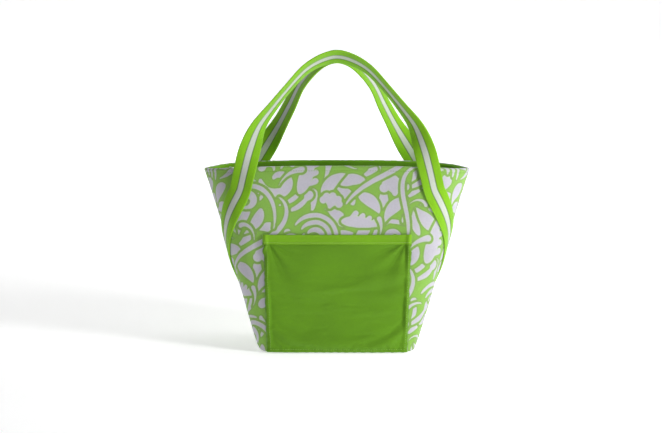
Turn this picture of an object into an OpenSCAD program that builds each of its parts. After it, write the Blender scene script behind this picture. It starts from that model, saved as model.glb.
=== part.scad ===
// Insulated cooler tote: a printed shell over foam and lining, a patch pocket,
// two webbing handles, and a zipped closure whose two halves fold down inside.
// Millimetres. +Z is up, -Y is the pocket side, the origin is the middle of the base.

/* [Bag body] */
// Width across the mouth, corner to corner
mouth_width = 366; // [358:1:374]
// Depth of the mouth at its middle, front to back
mouth_depth = 92; // [90:1:98]
// Width of the base
base_width = 210; // [206:1:220]
// Depth of the base, front to back
base_depth = 145; // [140:1:150]
// Height of the rim at the middle of the front
rim_height = 248; // [246:1:252]
// How much lower the two corners of the mouth hang than the middle of the rim
ear_droop = 6.5; // [4:0.5:8]

/* [Layers] */
// Thickness of the printed outer fabric
shell_t = 1; // [0.8:0.1:1]
// Thickness of the insulating foam
foam_t = 5; // [4:0.5:5]
// Thickness of the lining and of the rim facing
lining_t = 0.8; // [0.6:0.1:0.8]
// Thickness of the stiff board in the base
board_t = 2; // [1.5:0.5:2.5]
// Depth of the facing that covers the inside of the rim
facing_depth = 25; // [20:1:30]

/* [Pocket] */
// Width of the pocket at its mouth
pocket_mouth_width = 196; // [188:1:200]
// Width of the pocket at the base seam
pocket_base_width = 186; // [180:1:188]
// Height of the pocket
pocket_height = 160; // [150:1:162]
// How far the slack pocket stands off the bag
pocket_slack = 11.5; // [10:0.5:13]
// Thickness of the pocket fabric
pocket_t = 1; // [0.8:0.1:1.2]
// Height of the binding along the pocket's mouth
binding_height = 13; // [11:1:15]

/* [Straps] */
// Width of the webbing
strap_width = 30; // [28:1:32]
// Thickness of the webbing
strap_t = 2.4; // [2:0.1:2.4]
// Distance of each handle's stitched tack from the middle of the bag
tack_x = 129; // [127:1:131]
// Height of the tacks, where the handles leave the bag
tack_z = 215; // [213:1:217]
// Height of the front handle's crown above the tacks
front_rise = 177; // [174:1:180]
// Height of the back handle's crown above the tacks
back_rise = 176; // [174:1:180]
// Height where the middle of each strap tail runs into the side seam
tail_end_z = 104; // [100:1:110]

/* [Closure] */
// Height of the closure's fabric
closure_z = 237.4; // [236:0.2:238]
// Half the length of the two closure flaps
flap_half_length = 128; // [124:1:129]
// Distance of each flap's fold line from the middle
flap_hinge_y = 38; // [36:0.5:38]
// Distance of the parked slider from the middle
slider_park_x = 145; // [144:1:146]

/* [Hidden] */

print_green = "#9cbf68";
strap_green = "#8ed01e";
pocket_green = "#6c9c24";
binding_green = "#7bbd1a";
facing_green = "#79b32c";
foam_white = "#e8e8e4";
foil_grey = "#c9ccd0";
board_grey = "#4a4a4a";
zip_grey = "#b9bcc0";

// Gap kept between two layers that lie on each other
layer_gap = 0.2;
// Half the gap between the front and the back half at the side seams
seam_gap = 0.1;
foam_off = shell_t + layer_gap;
lining_off = foam_off + foam_t + layer_gap;
inside_off = lining_off + lining_t;
// The bag leans in late: its depth shrinks with this power of the height
lean_power = 4;
// Rounding of the body's section: exponents of the cosine and of the sine
round_x_base = 0.25;
round_x_rim = 0.222;
round_y_base = 0.25;
round_y_rim = 2;
around_steps = 20;
up_steps = 9;
// Rows of points crowd towards the rim, where the bag leans in fastest
row_power = 1.5;

board_z = shell_t + layer_gap;
base_foam_z = board_z + board_t + layer_gap;
wall_foam_z = base_foam_z + foam_t + layer_gap;
base_lining_z = wall_foam_z;
wall_lining_z = base_lining_z + lining_t + layer_gap;

// ---- Body surface ----------------------------------------------------------

function between(a, b, t) = a + (b - a) * t;
function half_width(z) = between(base_width, mouth_width, z / rim_height) / 2;
function half_depth(z) = between(base_depth, mouth_depth, pow(z / rim_height, lean_power)) / 2;
function round_x(z) = between(round_x_base, round_x_rim, z / rim_height);
function round_y(z) = between(round_y_base, round_y_rim, pow(z / rim_height, 1.5));

// A point of the front half: around is 0 at the right seam, 90 at the middle
// and 180 at the left seam, and out is the distance outside the shell
function skin(around, z, out) = [
    (half_width(z) + out) * sign(cos(around)) * pow(abs(cos(around)), round_x(z)),
    -seam_gap - (half_depth(z) + out - seam_gap) * pow(abs(sin(around)), round_y(z)),
    z
];

// How far the front half stands out at a distance x from the middle
function front_reach(x, z, out) =
    (half_depth(z) + out)
    * pow(1 - pow(abs(x) / (half_width(z) + out), 2 / round_x(z)), round_y(z) / 2);

// Height of the rim around the bag, lower at the two corners
function rim_z(around) = rim_height - ear_droop * pow(abs(cos(around)), 0.67);

// Arc length from the middle of the front, with the angle that it belongs to
arc_step = 3;
function arc_table(z) = [
    for (a = 90, s = 0; a >= 0;
         s = s + norm(skin(a, z, 0) - skin(max(a - arc_step, 0), z, 0)), a = a - arc_step)
        [s, a]
];
function seam_length(z) = arc_table(z)[90 / arc_step][0];

// ---- Solids from points ----------------------------------------------------

function flat_list(rows) = [for (row = rows) each row];

// A closed solid between two grids of points, the outer and the inner face
module slab(outer, inner) {
    rows = len(outer);
    cols = len(outer[0]);
    count = rows * cols;
    face = [
        for (i = [0 : rows - 2], j = [0 : cols - 2])
            let (a = i * cols + j, b = a + 1, c = a + cols, d = c + 1)
            each [[a, c, b], [b, c, d],
                  [count + a, count + b, count + c], [count + b, count + d, count + c]]
    ];
    ends = [
        for (j = [0 : cols - 2], i = [0, rows - 1])
            let (a = i * cols + j, b = a + 1)
            each i == 0
                ? [[a, b, count + b], [a, count + b, count + a]]
                : [[b, a, count + a], [b, count + a, count + b]]
    ];
    sides = [
        for (i = [0 : rows - 2], j = [0, cols - 1])
            let (a = i * cols + j, c = a + cols)
            each j == 0
                ? [[c, a, count + a], [c, count + a, count + c]]
                : [[a, c, count + c], [a, count + c, count + a]]
    ];
    polyhedron(concat(flat_list(outer), flat_list(inner)), concat(face, ends, sides));
}

// A closed solid through a list of rings that all have the same number of points,
// with each end closed by the convex faces in cap
module through_rings(rings, cap) {
    n = len(rings[0]);
    last = len(rings) - 1;
    walls = [
        for (i = [0 : last - 1], j = [0 : n - 1])
            let (a = i * n + j, b = i * n + (j + 1) % n)
            each [[a, b, b + n], [a, b + n, a + n]]
    ];
    caps = [
        for (f = cap)
            each [[for (j = [len(f) - 1 : -1 : 0]) f[j]], [for (j = f) last * n + j]]
    ];
    polyhedron(flat_list(rings), concat(walls, caps));
}

// A layer of the front half, from a height above the base to a distance below the rim
module wall(out, thick, low, below_rim) {
    turn = 180 / around_steps;
    function grid(o) = [
        for (i = [0 : up_steps])
            [for (k = [0 : around_steps])
                let (around = k * turn, share = 1 - pow(1 - i / up_steps, row_power))
                skin(around, between(low, rim_z(around) - below_rim, share), o)]
    ];
    slab(grid(out), grid(out - thick));
}

// The facing hangs a fixed depth below the rim all the way round
module facing() {
    turn = 180 / around_steps;
    steps = 3;
    top_gap = 0.5;
    function grid(o) = [
        for (i = [0 : steps])
            [for (k = [0 : around_steps])
                let (around = k * turn, top = rim_z(around) - top_gap)
                skin(around, top - facing_depth * (1 - i / steps), o)]
    ];
    slab(grid(-lining_off - layer_gap), grid(-inside_off - layer_gap));
}

module back_half() {
    mirror([0, 1, 0]) children();
}

module left_half() {
    mirror([1, 0, 0]) children();
}

// A flat layer of the base, its outline drawn in from the shell's
module base_layer(low, thick, inset) {
    turn = 180 / around_steps;
    front = [for (k = [0 : around_steps]) skin(k * turn, 0, -inset)];
    outline = concat(
        [for (p = front) [p[0], p[1]]],
        [for (k = [around_steps : -1 : 0]) [front[k][0], -front[k][1]]]
    );
    translate([0, 0, low]) linear_extrude(thick) polygon(outline);
}

// ---- Shell, foam and lining ------------------------------------------------

module front_panel() {
    color(print_green) wall(0, shell_t, 0, 0);
}

module back_panel() {
    color(print_green) back_half() wall(0, shell_t, 0, 0);
}

module base_panel() {
    color(pocket_green) base_layer(0, shell_t, foam_off);
}

module base_board() {
    color(board_grey) base_layer(board_z, board_t, foam_off + layer_gap);
}

foam_below_rim = 1.5;

module front_foam() {
    color(foam_white) wall(-foam_off, foam_t, wall_foam_z, foam_below_rim);
}

module back_foam() {
    color(foam_white) back_half() wall(-foam_off, foam_t, wall_foam_z, foam_below_rim);
}

module base_foam() {
    color(foam_white) base_layer(base_foam_z, foam_t, foam_off);
}

lining_below_rim = facing_depth + 1;

module front_lining() {
    color(foil_grey) wall(-lining_off, lining_t, wall_lining_z, lining_below_rim);
}

module back_lining() {
    color(foil_grey) back_half() wall(-lining_off, lining_t, wall_lining_z, lining_below_rim);
}

module base_lining() {
    color(foil_grey) base_layer(base_lining_z, lining_t, lining_off);
}

module front_rim_facing() {
    color(facing_green) facing();
}

module back_rim_facing() {
    color(facing_green) back_half() facing();
}

// ---- Pocket ----------------------------------------------------------------

pocket_steps = 16;
pocket_rows = 8;
pocket_low = 0.5;
pocket_seat = 0.35;
binding_t = 0.8;
binding_gap = 0.1;

function pocket_half(z) = between(pocket_base_width, pocket_mouth_width, z / pocket_height) / 2;

// The pocket is sewn down at its sides and base, and slack in between
function pocket_stand(side, z) =
    pocket_seat + pocket_slack * (1 - pow(abs(side), 8)) * (1 - pow(1 - z / pocket_height, 10));

// A point of the slack pocket at a distance x from the middle
function pocket_point(x, z, out) =
    [x, -front_reach(x, z, 0) - pocket_stand(x / pocket_half(z), z) - out, z];

module pocket_panel() {
    high = pocket_height - binding_t - binding_gap;
    function grid(out) = [
        for (i = [0 : pocket_rows])
            [for (k = [pocket_steps : -1 : 0])
                let (z = between(pocket_low, high, i / pocket_rows))
                pocket_point((2 * k / pocket_steps - 1) * pocket_half(z), z, out)]
    ];
    color(pocket_green) slab(grid(pocket_t), grid(0));
}

// A strip folded over the pocket's mouth
module pocket_binding() {
    low = pocket_height - binding_height;
    cover = pocket_t + binding_gap;
    edge = pocket_height - binding_t;
    outline = [
        [cover, low], [cover + binding_t, low],
        [cover + binding_t, pocket_height], [-binding_gap - binding_t, pocket_height],
        [-binding_gap - binding_t, low], [-binding_gap, low],
        [-binding_gap, edge], [cover, edge]
    ];
    half = pocket_half(low);
    rings = [
        for (k = [0 : pocket_steps])
            [for (p = outline) pocket_point((2 * k / pocket_steps - 1) * half, p[1], p[0])]
    ];
    color(binding_green) through_rings(rings, [[0, 1, 2, 7], [2, 3, 6, 7], [3, 4, 5, 6]]);
}

// ---- Straps ----------------------------------------------------------------

strap_seat = 0.35;
tail_rows = 10;
tail_cols = 5;
tail_gap = 0.5;

tack_around = acos(pow(tack_x / half_width(tack_z), 1 / round_x(tack_z)));
tack_arc = lookup(90 - tack_around, [for (e = arc_table(tack_z)) [90 - e[1], e[0]]]);
tail_slope = (seam_length(tail_end_z) - tack_arc) / (tack_z - tail_end_z);
// The tail leans, so a level cut across it is wider than the webbing
tail_cut = strap_width / cos(atan(tail_slope)) / 2;
tail_foot_z = tail_end_z - 0.8 * tail_cut / tail_slope;

// The tail lies on the shell and is cut off where it runs into the side seam
module strap_tail() {
    high = tack_z - tail_gap;
    function grid(out) = [
        for (i = [0 : tail_rows])
            let (
                z = between(tail_foot_z, high, i / tail_rows),
                table = arc_table(z),
                middle = tack_arc + (tack_z - z) * tail_slope,
                end = min(middle + tail_cut, seam_length(z) - 1)
            )
            [for (j = [0 : tail_cols])
                skin(lookup(between(end, middle - tail_cut, j / tail_cols), table), z, out)]
    ];
    color(strap_green) slab(grid(strap_seat + strap_t), grid(strap_seat));
}

module front_right_strap_tail() {
    strap_tail();
}

module front_left_strap_tail() {
    left_half() strap_tail();
}

module back_right_strap_tail() {
    back_half() strap_tail();
}

module back_left_strap_tail() {
    left_half() back_half() strap_tail();
}

// Handle route from the right tack to the crown: the distance from the middle as
// a part of tack_x, the height as a part of the rise, and the webbing's twist,
// which turns its outer edge away from the bag
front_route = [
    [1, 0, -19], [0.945, 0.18, -8], [0.895, 0.32, 18], [0.81, 0.48, 50], [0.67, 0.62, 64],
    [0.5, 0.77, 68], [0.33, 0.9, 64], [0.16, 0.972, 58], [0, 1, 56]
];
back_route = [
    [1, 0, -19], [0.81, 0.23, -3], [0.63, 0.443, 42], [0.5, 0.62, 54],
    [0.38, 0.79, 62], [0.19, 0.945, 60], [0, 1, 56]
];
crown_y = 14;
tack_y = front_reach(tack_x, tack_z, 0) + strap_seat + strap_t;
span_steps = 4;

function unit(v) = v / norm(v);
function bend(a, b, c, d, t) =
    (2 * b + (c - a) * t + (2 * a - 5 * b + 4 * c - d) * t * t + (3 * b - a - 3 * c + d) * t * t * t) / 2;

function route_points(route, rise) =
    let (
        half = [for (p = route) [
            p[0] * tack_x, -between(tack_y, crown_y, p[1]), tack_z + rise * p[1], p[2]]],
        last = len(half) - 1
    )
    concat(half, [for (i = [last - 1 : -1 : 0]) [-half[i][0], half[i][1], half[i][2], half[i][3]]]);

function route_curve(points) =
    let (last = len(points) - 1)
    [
        for (i = [0 : last - 1], k = [0 : span_steps - (i == last - 1 ? 0 : 1)])
            bend(points[max(i - 1, 0)], points[i], points[i + 1], points[min(i + 2, last)], k / span_steps)
    ];

// One ring of the webbing's outline at each point of the curve
function strap_rings(curve) =
    let (last = len(curve) - 1)
    [
        for (i = [0 : last])
            let (
                p = curve[i],
                a = curve[max(i - 1, 0)],
                b = curve[min(i + 1, last)],
                along = unit([b[0] - a[0], b[1] - a[1], b[2] - a[2]]),
                outward = unit(cross([0, 1, 0], along)),
                forward = cross(outward, along),
                across = outward * cos(p[3]) + forward * sin(p[3]),
                face = forward * cos(p[3]) - outward * sin(p[3])
            )
            [for (c = [[-1, -1], [1, -1], [1, 1], [-1, 1]])
                [p[0], p[1], p[2]] + across * c[0] * strap_width / 2 + face * c[1] * strap_t / 2]
    ];

// The loop is cut off level, just above the tacks
module handle_loop(route, rise) {
    big = 2 * mouth_width;
    color(strap_green) intersection() {
        through_rings(strap_rings(route_curve(route_points(route, rise))), [[0, 1, 2, 3]]);
        translate([-big / 2, -big / 2, tack_z + tail_gap]) cube(big);
    }
}

module front_handle_strap() {
    handle_loop(front_route, front_rise);
}

module back_handle_strap() {
    back_half() handle_loop(back_route, back_rise);
}

// ---- Closure and zip -------------------------------------------------------

flap_t = 1.2;
flap_gap = 1;
flap_lining_t = 0.6;
zip_edge_y = 8;
tape_t = 0.7;
tape_y = [2.4, 14];
coil_y = [0.6, 2.4];
coil_h = 1.4;
coil_z = closure_z - 0.4;
tape_z = closure_z - layer_gap - tape_t;
zip_end_x = slider_park_x + 14;
end_start_x = flap_half_length + flap_gap;
stop_length = 3;

// A block between two corners
module block(low, high) {
    translate(low) cube(high - low);
}

module flap_fabric() {
    block([-flap_half_length, -flap_hinge_y, closure_z],
          [flap_half_length, -zip_edge_y, closure_z + flap_t]);
}

module flap_lining() {
    inset = 1;
    top = closure_z - layer_gap;
    block([-flap_half_length + inset, -flap_hinge_y + inset / 2, top - flap_lining_t],
          [flap_half_length - inset, -tape_y[1] - inset, top]);
}

module tape_strip(from_x, to_x) {
    block([from_x, -tape_y[1], tape_z], [to_x, -tape_y[0], tape_z + tape_t]);
}

module coil_strip(from_x, to_x) {
    block([from_x, -coil_y[1], coil_z - coil_h / 2], [to_x, -coil_y[0], coil_z + coil_h / 2]);
}

module front_closure_flap() {
    color(facing_green) flap_fabric();
}

module back_closure_flap() {
    color(facing_green) back_half() flap_fabric();
}

module front_flap_lining() {
    color(foil_grey) flap_lining();
}

module back_flap_lining() {
    color(foil_grey) back_half() flap_lining();
}

module front_zip_tape() {
    color(facing_green) tape_strip(-flap_half_length, flap_half_length);
}

module back_zip_tape() {
    color(facing_green) back_half() tape_strip(-flap_half_length, flap_half_length);
}

module front_zip_coil() {
    color(zip_grey) coil_strip(-flap_half_length, flap_half_length);
}

module back_zip_coil() {
    color(zip_grey) back_half() coil_strip(-flap_half_length, flap_half_length);
}

// The fixed end of the closure fills the corner of the mouth, with a slot for the zip
module closure_end() {
    clear = 1;
    arc = [for (k = [-45 : 3 : 45]) k];
    rim = [
        for (a = arc)
            let (p = skin(abs(a), closure_z + flap_t, -inside_off - clear))
            [p[0], a < 0 ? p[1] : -p[1]]
    ];
    slot_end = zip_end_x + layer_gap;
    difference() {
        translate([0, 0, closure_z]) linear_extrude(flap_t)
            polygon(concat(
                [[end_start_x, -flap_hinge_y]],
                [for (p = rim) if (p[0] > end_start_x) p],
                [[end_start_x, flap_hinge_y]]
            ));
        block([0, -zip_edge_y, 0], [slot_end, zip_edge_y, rim_height]);
    }
}

// Short tape and coil on both sides of the slot, where the slider parks
module zip_end() {
    for (side = [0, 1]) mirror([0, side, 0]) union() {
        tape_strip(end_start_x, zip_end_x);
        coil_strip(end_start_x, zip_end_x);
    }
}

module zip_stop() {
    reach = coil_y[0] - 0.05;
    block([zip_end_x - stop_length, -reach, coil_z - coil_h / 2],
          [zip_end_x, reach, coil_z + coil_h / 2]);
}

module right_closure_end() {
    color(facing_green) closure_end();
}

module left_closure_end() {
    color(facing_green) left_half() closure_end();
}

module right_zip_end() {
    color(zip_grey) zip_end();
}

module left_zip_end() {
    color(zip_grey) left_half() zip_end();
}

module right_zip_stop() {
    color(zip_grey) zip_stop();
}

module left_zip_stop() {
    color(zip_grey) left_half() zip_stop();
}

slider_length = 13;
slider_width = 9;
plate_t = 1;
plate_clear = 0.3;
post_half_y = 0.3;
post_half_x = 1.5;
upper_plate_z = coil_z + coil_h / 2 + plate_clear;
lower_plate_z = coil_z - coil_h / 2 - plate_clear - plate_t;
pin_r = 0.7;
pin_z = upper_plate_z + plate_t + 1.9;
lug_half_x = 1.5;
lug_over_pin = 1.3;
lug_y = [2.6, 3.8];
pull_length = 16;
pull_width = 6;
pull_t = 1.2;
pull_half_t = pull_t / 2;
pull_eye_y = 2.3;

// Two plates and a post, with two lugs and a pin that carry the pull
module zip_slider() {
    color(zip_grey) translate([-slider_park_x, 0, 0]) union() {
        for (low = [lower_plate_z, upper_plate_z])
            block([-slider_length / 2, -slider_width / 2, low],
                  [slider_length / 2, slider_width / 2, low + plate_t]);
        block([-post_half_x, -post_half_y, lower_plate_z],
              [post_half_x, post_half_y, upper_plate_z + plate_t]);
        for (side = [0, 1]) mirror([0, side, 0])
            block([-lug_half_x, lug_y[0], upper_plate_z], [lug_half_x, lug_y[1], pin_z + lug_over_pin]);
        translate([0, lug_y[1], pin_z]) rotate([90, 0, 0]) cylinder(h = 2 * lug_y[1], r = pin_r, $fn = 32);
    }
}

// A flat tab with an eye that turns on the slider's pin
module zip_pull() {
    bore_r = pin_r + 0.1;
    eye_r = 1.5;
    neck_end = 4;
    tab_start = 3;
    color(zip_grey) translate([-slider_park_x, 0, pin_z]) difference() {
        union() {
            rotate([90, 0, 0])
                translate([0, 0, -pull_eye_y])
                cylinder(h = 2 * pull_eye_y, r = eye_r, $fn = 48);
            block([0, -pull_eye_y, -pull_half_t], [neck_end, pull_eye_y, pull_half_t]);
            block([tab_start, -pull_width / 2, -pull_half_t], [pull_length, pull_width / 2, pull_half_t]);
        }
        rotate([90, 0, 0])
            translate([0, 0, -pull_width])
            cylinder(h = 2 * pull_width, r = bore_r, $fn = 48);
    }
}

// ---- Choice of node --------------------------------------------------------

front_panel();
back_panel();
base_panel();
base_board();
front_foam();
back_foam();
base_foam();
front_lining();
back_lining();
base_lining();
front_rim_facing();
back_rim_facing();
pocket_panel();
pocket_binding();
front_left_strap_tail();
front_right_strap_tail();
back_left_strap_tail();
back_right_strap_tail();
front_handle_strap();
back_handle_strap();
left_closure_end();
right_closure_end();
front_closure_flap();
back_closure_flap();
front_flap_lining();
back_flap_lining();
front_zip_tape();
back_zip_tape();
front_zip_coil();
back_zip_coil();
left_zip_end();
right_zip_end();
left_zip_stop();
right_zip_stop();
zip_slider();
zip_pull();
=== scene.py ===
"""Insulated cooler bag: printed shell, patch pocket, webbing handles, foil lining and zipped mouth.

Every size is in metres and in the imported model's frame: X to the right, Y towards the back, Z up.
"""

import math

import bpy
import numpy as np
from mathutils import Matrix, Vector


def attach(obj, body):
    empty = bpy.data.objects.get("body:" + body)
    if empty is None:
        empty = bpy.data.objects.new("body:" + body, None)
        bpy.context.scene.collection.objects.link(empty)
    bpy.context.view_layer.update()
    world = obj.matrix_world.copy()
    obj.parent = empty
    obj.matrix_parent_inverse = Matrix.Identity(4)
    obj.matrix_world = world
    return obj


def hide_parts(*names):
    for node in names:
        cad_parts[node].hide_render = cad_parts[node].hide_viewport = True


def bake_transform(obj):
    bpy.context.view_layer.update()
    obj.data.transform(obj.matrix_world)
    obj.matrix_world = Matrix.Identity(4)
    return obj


bl_info = {
    "name": "Cooler bag",
    "version": (1, 0, 0),
    "blender": (4, 5, 0),
    "location": "View3D > Sidebar > Cooler bag",
    "description": "Builds an insulated cooler bag with a printed shell, pocket, handles and zip",
    "category": "Mesh",
}

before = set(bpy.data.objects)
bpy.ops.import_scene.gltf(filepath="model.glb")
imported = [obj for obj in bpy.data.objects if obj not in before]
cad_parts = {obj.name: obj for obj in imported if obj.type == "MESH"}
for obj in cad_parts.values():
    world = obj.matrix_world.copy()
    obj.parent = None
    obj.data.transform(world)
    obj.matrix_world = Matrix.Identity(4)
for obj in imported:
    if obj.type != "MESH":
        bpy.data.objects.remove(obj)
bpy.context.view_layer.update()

HEIGHT = 0.248
SEAM_GAP = 0.0001
FRONT = -1.0
BACK = 1.0
EAR_DROOP = 0.0065
HEM_DROP = 0.0062
ROLL = 0.0034
SHELL_CLOTH = 0.0008
LAYER_STEP = 0.0028
POCKET_TOP = 0.160
TACK_X = 0.129
TACK_Z = 0.215
TAIL_FOOT_Z = 0.104
STRAP_SEAT = 0.00035
STRAP_THICK = 0.0024
STITCH_GAP = 0.0009
UP = np.array([0.0, 0.0, 1.0])
SIDES = ((FRONT, "front"), (BACK, "back"))
MATERIALS = {}


# ---------------------------------------------------------------- the bag's surface


def between(a, b, t):
    """The value a share t of the way from a to b."""
    return a + (b - a) * t


def half_width(z):
    """Half of the bag's width: 105 mm at the base, growing evenly to 183 mm at the rim."""
    return between(0.105, 0.183, z / HEIGHT)


def half_depth(z):
    """Half of the bag's depth: 72.5 mm, falling to 46 mm with the fourth power of the height."""
    return between(0.0725, 0.046, (z / HEIGHT) ** 4)


def round_x(z):
    """Power on the cosine of the outline, which squares the corners."""
    return between(0.25, 0.222, z / HEIGHT)


def round_y(z):
    """Power on the sine of the outline, from a square base to a pointed mouth."""
    return between(0.25, 2.0, (z / HEIGHT) ** 1.5)


def skin_table(out, heights=97, steps=257):
    """The outline at each height as x, y and length, over even shares of the way from middle to seam.

    x is the half width times the cosine of the angle to a power, and y the half depth times its sine
    to another. The angles crowd where either changes fast, and the lengths are summed along them."""
    z = np.linspace(0, HEIGHT, heights)[:, None]
    share = np.linspace(0, 1, 161)
    around = np.unique(np.concatenate([np.arccos(share**4), np.arcsin(share**3)]))[::-1]
    level = np.clip(np.cos(around), 0, 1)
    x = (half_width(z) + out) * level ** round_x(z)
    y = SEAM_GAP + (half_depth(z) + out - SEAM_GAP) * np.sin(around) ** round_y(z)
    steps_long = np.hypot(np.diff(x, axis=1), np.diff(y, axis=1))
    run = np.concatenate([np.zeros((heights, 1)), np.cumsum(steps_long, axis=1)], axis=1)
    even = np.linspace(0, 1, steps)
    rows_x = [np.interp(even, r / r[-1], a) for r, a in zip(run, x)]
    rows_y = [np.interp(even, r / r[-1], a) for r, a in zip(run, y)]
    return np.stack([np.array(rows_x), np.array(rows_y)], -1), run[:, -1]


TABLES = {}


def table_for(out):
    """The outline table at one distance out from the shell, worked out once."""
    key = round(out, 6)
    if key not in TABLES:
        TABLES[key] = skin_table(key)
    return TABLES[key]


def on_skin(share, z, out=0.0, side=FRONT):
    """Points on the bag at share (-1 left seam, 0 middle, 1 right seam) and height z, in one layer."""
    table, _ = table_for(out)
    rows, steps = table.shape[:2]
    share, z = np.broadcast_arrays(np.asarray(share, float), np.asarray(z, float))
    i = np.clip(np.abs(share), 0, 1) * (steps - 1)
    j = np.clip(z / HEIGHT, 0, 1) * (rows - 1)
    i0 = np.minimum(i.astype(int), steps - 2)
    j0 = np.minimum(j.astype(int), rows - 2)
    fi = (i - i0)[..., None]
    fj = (j - j0)[..., None]
    low = between(table[j0, i0], table[j0, i0 + 1], fi)
    high = between(table[j0 + 1, i0], table[j0 + 1, i0 + 1], fi)
    xy = between(low, high, fj)
    return np.stack([xy[..., 0] * np.sign(share), xy[..., 1] * side, z], -1)


def between_layers(share, z, out, side):
    """Points at any mix of distances out, from the four layers that the rolled rim passes through."""
    layers = LAYER_STEP * np.array([-3.0, -2.0, -1.0, 0.0])
    place = np.clip((out - layers[0]) / LAYER_STEP, 0, 2.999)
    low = place.astype(int)
    stack = np.stack([on_skin(share, z, layer, side) for layer in layers])
    rows = np.indices(low.shape)
    return between(stack[(low, *rows)], stack[(low + 1, *rows)], (place - low)[..., None])


def seam_length(z, out=0.0):
    """Length along the cloth from the middle of a panel to its side seam, at height z."""
    lengths = table_for(out)[1]
    return np.interp(z, np.linspace(0, HEIGHT, len(lengths)), lengths)


def rim_height(share, side=FRONT):
    """Height of the rim: 248 mm, dipping 6.5 mm at the corners with the cube of the way out."""
    x = on_skin(share, np.full_like(np.asarray(share, float), HEIGHT), 0.0, side)[..., 0]
    return HEIGHT - EAR_DROOP * np.abs(x / half_width(HEIGHT)) ** 3


def skin_normal(share, z, side=FRONT):
    """Unit outward normals of the plain surface, from the cross product of its two slopes."""
    ds, dz = 0.004, 0.001
    left, right = np.maximum(share - ds, -1), np.minimum(share + ds, 1)
    low, high = np.maximum(z - dz, 0), np.minimum(z + dz, HEIGHT)
    a = on_skin(right, z, 0.0, side) - on_skin(left, z, 0.0, side)
    b = on_skin(share, high, 0.0, side) - on_skin(share, low, 0.0, side)
    return unit(np.cross(a, b) * -side)


def ripple(u, v, waves):
    """A sum of sine waves; each wave is (waves a metre along u, along v, phase, height)."""
    total = np.zeros(np.broadcast(u, v).shape)
    for along_u, along_v, phase, height in waves:
        total += height * np.sin(2 * np.pi * (along_u * u + along_v * v) + phase)
    return total


BODY_WAVES = [
    (5.0, 3.0, 0.4, 0.00042),
    (-7.0, 5.5, 2.1, 0.00034),
    (11.0, 2.0, 4.4, 0.00022),
    (3.0, 13.0, 1.3, 0.00020),
    (-13.0, 9.0, 5.2, 0.00014),
    (19.0, -11.0, 0.9, 0.00008),
]


def shell_lift(share, z, side=FRONT):
    """How far the cloth stands off the plain surface.

    The swell is a sine over the height times a fall-off to the seams. Long waves ripple the middle,
    short puckers run into the side and base seams, and the cloth dips into the seams, under the hem
    stitching and round the base's edge."""
    rim = rim_height(share, side)
    u = share * seam_length(z)
    edge = (1 - np.abs(share)) * seam_length(z)
    top = rim - z
    free = np.clip(edge / 0.030, 0, 1) * np.clip(z / 0.035, 0, 1) * np.clip(top / 0.030, 0, 1)
    free = free * free * (3 - 2 * free)
    swell = 0.0013 * np.sin(np.pi * np.clip(z / rim, 0, 1)) ** 0.8
    waves = ripple(u, z + 0.31 * (side > 0), BODY_WAVES)
    lift = free * (swell + waves)
    near_seam = np.exp(-edge / 0.007) * (1 - np.exp(-edge / 0.0016))
    puckers = 0.55 + 0.45 * np.sin(2 * np.pi * z / 0.0115 + 2.0 * np.sin(z * 71))
    lift += -0.0005 * near_seam * puckers * np.clip(top / 0.03, 0, 1)
    lift += -0.0009 * np.exp(-((edge / 0.0013) ** 2)) * np.clip(top / 0.05, 0, 1)
    near_base = np.exp(-z / 0.010) * (1 - np.exp(-z / 0.003))
    gathers = 0.5 + 0.5 * np.sin(2 * np.pi * u / 0.0135 + 1.5 * np.sin(u * 53 + side))
    lift += -0.0006 * near_base * gathers
    corner = np.exp(-(((np.abs(share) - 0.72) / 0.10) ** 2)) * np.exp(-z / 0.030)
    lift += 0.0010 * corner * np.sin(2 * np.pi * u / 0.021 + 0.7) * np.clip(z / 0.008, 0, 1)
    lift += -0.00035 * np.exp(-(((top - HEM_DROP) / 0.0011) ** 2))
    lift += 0.00022 * np.exp(-(((top - 0.0035) / 0.0018) ** 2))
    turn = 0.0032
    under = np.clip(1 - z / turn, 0, 1)
    lift += -turn * (1 - np.sqrt(np.clip(1 - under * under, 0, 1)))
    return lift


def on_cloth(share, z, out=0.0, side=FRONT):
    """Points out from the finished cloth: the plain surface moved along its normal by lift and out."""
    lift = shell_lift(share, z, side) + out
    return on_skin(share, z, 0.0, side) + skin_normal(share, z, side) * lift[..., None]


def pinned_at(x, z):
    """The share of the way to the seam at which the plain surface reaches x, at height z."""
    share = np.abs(x) / half_width(z) * 0.8
    for _ in range(24):
        share = np.clip(share + (np.abs(x) - on_skin(share, z)[..., 0]) / seam_length(z), 0, 1)
    return share * np.sign(x)


# ---------------------------------------------------------------- meshes


def grid_faces(rows, cols, ring=False):
    """Quads of a grid of points, row by row; ring joins the last column to the first."""
    across = cols if ring else cols - 1
    i, j = np.meshgrid(np.arange(rows - 1), np.arange(across), indexing="ij")
    k = (j + 1) % cols
    quads = [i * cols + j, i * cols + k, (i + 1) * cols + k, (i + 1) * cols + j]
    return np.stack(quads, -1).reshape(-1, 4)


def unit(v):
    """Vectors of length one."""
    return v / np.maximum(np.linalg.norm(v, axis=-1, keepdims=True), 1e-12)


def signed_volume(points, faces):
    """Six times the volume that the faces close, positive when they point outwards."""
    total = 0.0
    for group in faces:
        a = points[group[:, 0]]
        for k in range(1, group.shape[1] - 1):
            total += np.einsum("ij,ij->", a, np.cross(points[group[:, k]], points[group[:, k + 1]]))
    return total


def grid_normals(grid):
    """Unit normals of a grid of points, from the cross product of its two slopes."""
    return unit(np.cross(np.gradient(grid, axis=1), np.gradient(grid, axis=0)))


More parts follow.
